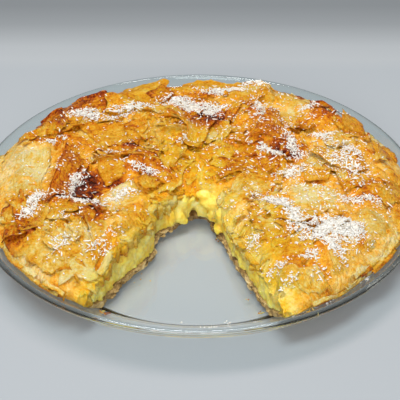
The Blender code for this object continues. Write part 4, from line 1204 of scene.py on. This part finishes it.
def speck(heap, rng, x, y, z):
    """One short flat grain of coconut: six points and eight faces."""
    sizes = (0.7 + min(rng.exponential(0.9), 2.4), rng.uniform(0.5, 1.3), rng.uniform(0.3, 0.7))
    half = 0.5 * np.array(sizes) * MM
    ends = rng.uniform(-0.25, 0.25, 4)
    points = np.array(((-1, ends[0], ends[1]), (1, ends[2], ends[3]), (0.1, -1, 0), (-0.1, 1, 0),
                       (0, 0, -1), (0, 0, 1))) * half
    turn, pitch = rng.uniform(0, 2 * math.pi), rng.normal(0, 0.35)
    points[:, 2] += points[:, 0] * math.sin(pitch)
    c, s = math.cos(turn), math.sin(turn)
    flat = points[:, :2] @ np.array(((c, s), (-s, c)))
    points = np.column_stack((flat + (x, y), points[:, 2] + z + half[2]))
    faces = ((0, 2, 5), (2, 1, 5), (1, 3, 5), (3, 0, 5), (2, 0, 4), (1, 2, 4), (3, 1, 4), (0, 3, 4))
    heap.add(points, faces, rng.uniform(0, 1))


coconut = Heap()
rng = np.random.default_rng(99)
graph = bpy.context.evaluated_depsgraph_get()
trees = [BVHTree.FromObject(piece, graph) for piece in (lid, loose, flakes)]
for cx, cy, heading, half_length, half_width, count in COCONUT_HEAPS:
    c, s = unit(heading)
    filling = min(1.0, count / (9 * half_length * half_width))
    for _ in range(count):
        spread = rng.normal(0, 0.62, 2)
        along, across = spread * (half_length, half_width)
        x, y = (cx + along * c - across * s) * MM, (cy + along * s + across * c) * MM
        stack = rng.random() * math.exp(-float(spread @ spread)) * filling * COCONUT_TALLEST * MM
        if math.hypot(x, y) > 0.121 or lid_depth(np.array(x), np.array(y)) > -0.001:
            continue
        z = top_of(trees, x, y)
        if z is not None:
            one = shred if rng.random() < SHRED_SHARE else speck
            one(coconut, rng, x, y, z + stack)

# Dried coconut: white to cream from shred to shred, matt, with a little light in its edges
COCONUT_COLOURS = ((0.0, "FBF0DE"), (0.4, "FFFAF0"), (1.0, "FFFFFA"))
white, tree = new_material("desiccated_coconut")
principled(tree, {"Roughness": 0.5, "IOR": 1.45, "Subsurface Weight": 0.1,
                  "Subsurface Scale": 0.001, "Subsurface Radius": (1.0, 0.9, 0.8)},
           {"Base Color": ramped(tree, stored(tree, "bake"), COCONUT_COLOURS)})
coconut.build("coconut_shreds", white)

# ------------------------------------------------------------------- crumbs in the dish
# Cutting the slice left crumbs of coconut and pastry on the bare glass. More coconut and a few
# flakes fell between the pie's side and the rim.

# Where crumbs lie: x, y in mm, how many, and how far they are spread in mm
WHITE_CRUMBS = [(x, y, 3, 0.8) for x, y in ((-10, -106), (2, -112), (7, -114), (15, -106),
                                            (17, -107), (32, -108), (10, -113))]
PASTRY_CRUMBS = ((35, -98, 5, 1.2), (30, -84, 4, 2), (12, -30, 5, 2), (-34, -70, 5, 2.5))
PASTRY_FLAKES = [(x, y, 4, 2.2) for x, y in ((-90, -82), (-73, -94), (-54, -103), (-104, -68),
                                             (60, -112))]


def lay(heap, make, x, y, lift=0):
    """Put one crumb on the dish's inner face, floor or wall."""
    top = WALL_FOOT[1] + (math.hypot(x, y) - WALL_FOOT[0]) / WALL_LEAN
    make(heap, rng, x, y, max(FLOOR_TOP, top) + lift)


def sprinkle(heap, make, spots, lift=0):
    """Drop crumbs round the spots."""
    for cx, cy, count, spread in spots:
        for _ in range(count):
            lay(heap, make, *(np.array((cx, cy)) + rng.normal(0, spread, 2)) * MM, lift)


fallen = Heap()
rng = np.random.default_rng(33)
sprinkle(fallen, speck, WHITE_CRUMBS)
for _ in range(110):
    c, s = unit(rng.uniform(-43, -28))
    radius = (123 + rng.normal(0, 1.6)) * MM
    lay(fallen, shred, radius * c, radius * s)
for _ in range(40):
    c, s = unit(rng.uniform(-66, -30))
    radius = rng.uniform(121, 127) * MM
    lay(fallen, speck, radius * c, radius * s)
fallen.build("fallen_coconut", white)
bits = Heap()
sprinkle(bits, speck, PASTRY_CRUMBS)
sprinkle(bits, shred, PASTRY_FLAKES, 0.3 * MM)
bits.build("pastry_crumbs", filo)

# -------------------------------------------------------------- table, light and camera
# A pale grey table whose colour is painted darker behind the dish, painted shade of the light
# falling off there; soft boxes above it and in front, and the photograph's own view: a long lens
# looking down at about 35 degrees. The room is brighter where it is seen through the glass.
TABLE_SHADE_FADE = (0.19, 0.30)           # Y where the table starts to darken and where it is darkest
TABLE_COLOURS_AND_SHADE = ((0.0, "AAAFB3"), (0.15, "AEB2B5"), (0.35, "AAAEB1"), (0.7, "8F9396"),
                 (1.0, "828689"))
bpy.ops.object.select_all(action="DESELECT")
bpy.ops.mesh.primitive_grid_add(x_subdivisions=40, y_subdivisions=40, size=6,
                                location=(0, 0, -0.0004))
table = bpy.context.object
bpy.ops.object.transform_apply(location=True)
table.name = "table"
plain, tree = new_material("smooth_grey_board")
split = add(tree, "ShaderNodeSeparateXYZ", {}, {"Vector": position(tree)})
# The board's grey, darkened towards the back as painted shade
fade = spread_out(tree, split.outputs["Y"], *TABLE_SHADE_FADE)
principled(tree, {"Roughness": 0.8, "Specular IOR Level": 0.12},
           {"Base Color": ramped(tree, fade, TABLE_COLOURS_AND_SHADE)})
cover(table, plain)


def soft_light(name, place, aim, width, depth, power):
    """An oblong white soft box that faces a point."""
    lamp = bpy.data.lights.new(name, "AREA")
    lamp.shape = "RECTANGLE"
    lamp.size, lamp.size_y = width, depth
    lamp.energy = power
    holder = bpy.data.objects.new(name, lamp)
    bpy.context.scene.collection.objects.link(holder)
    holder.location = place
    towards = np.array(aim) - np.array(place)
    flat = math.hypot(towards[0], towards[1])
    holder.rotation_euler = (math.atan2(flat, -towards[2]), 0, math.atan2(-towards[0], towards[1]))


soft_light("top_box", (-0.05, 0.09, 1.15), (0, 0, 0), 0.75, 0.35, 11.3)
soft_light("front_box", (-0.14, -1.44, 0.85), (0, 0, 0.02), 0.9, 0.9, 17.0)
world = bpy.data.worlds.new("studio")
bpy.context.scene.world = world
world.use_nodes = True
tree = world.node_tree
background = tree.nodes["Background"].inputs
background["Color"].default_value = linear("F4F6F8")
path = add(tree, "ShaderNodeLightPath").outputs
room = add(tree, "ShaderNodeMapRange", {"To Min": 0.28, "To Max": 0.08},
           {"Value": path["Is Glossy Ray"]})
clear_view = either(tree, path["Is Transmission Ray"], path["Is Singular Ray"])
strength = add(tree, "ShaderNodeMix", {"B": 0.44},
               {"Factor": clear_view, "A": room.outputs["Result"]})
tree.links.new(strength.outputs["Result"], background["Strength"])

lens = bpy.data.cameras.new("camera")
lens.lens = 108
lens.sensor_width = 36
camera = bpy.data.objects.new("camera", lens)
bpy.context.scene.collection.objects.link(camera)
camera.location = (0.0009, -0.6159, 0.4509)
camera.rotation_euler = (math.radians(54.58), 0, 0)
bpy.context.scene.camera = camera
bpy.context.scene.view_settings.view_transform = "Standard"
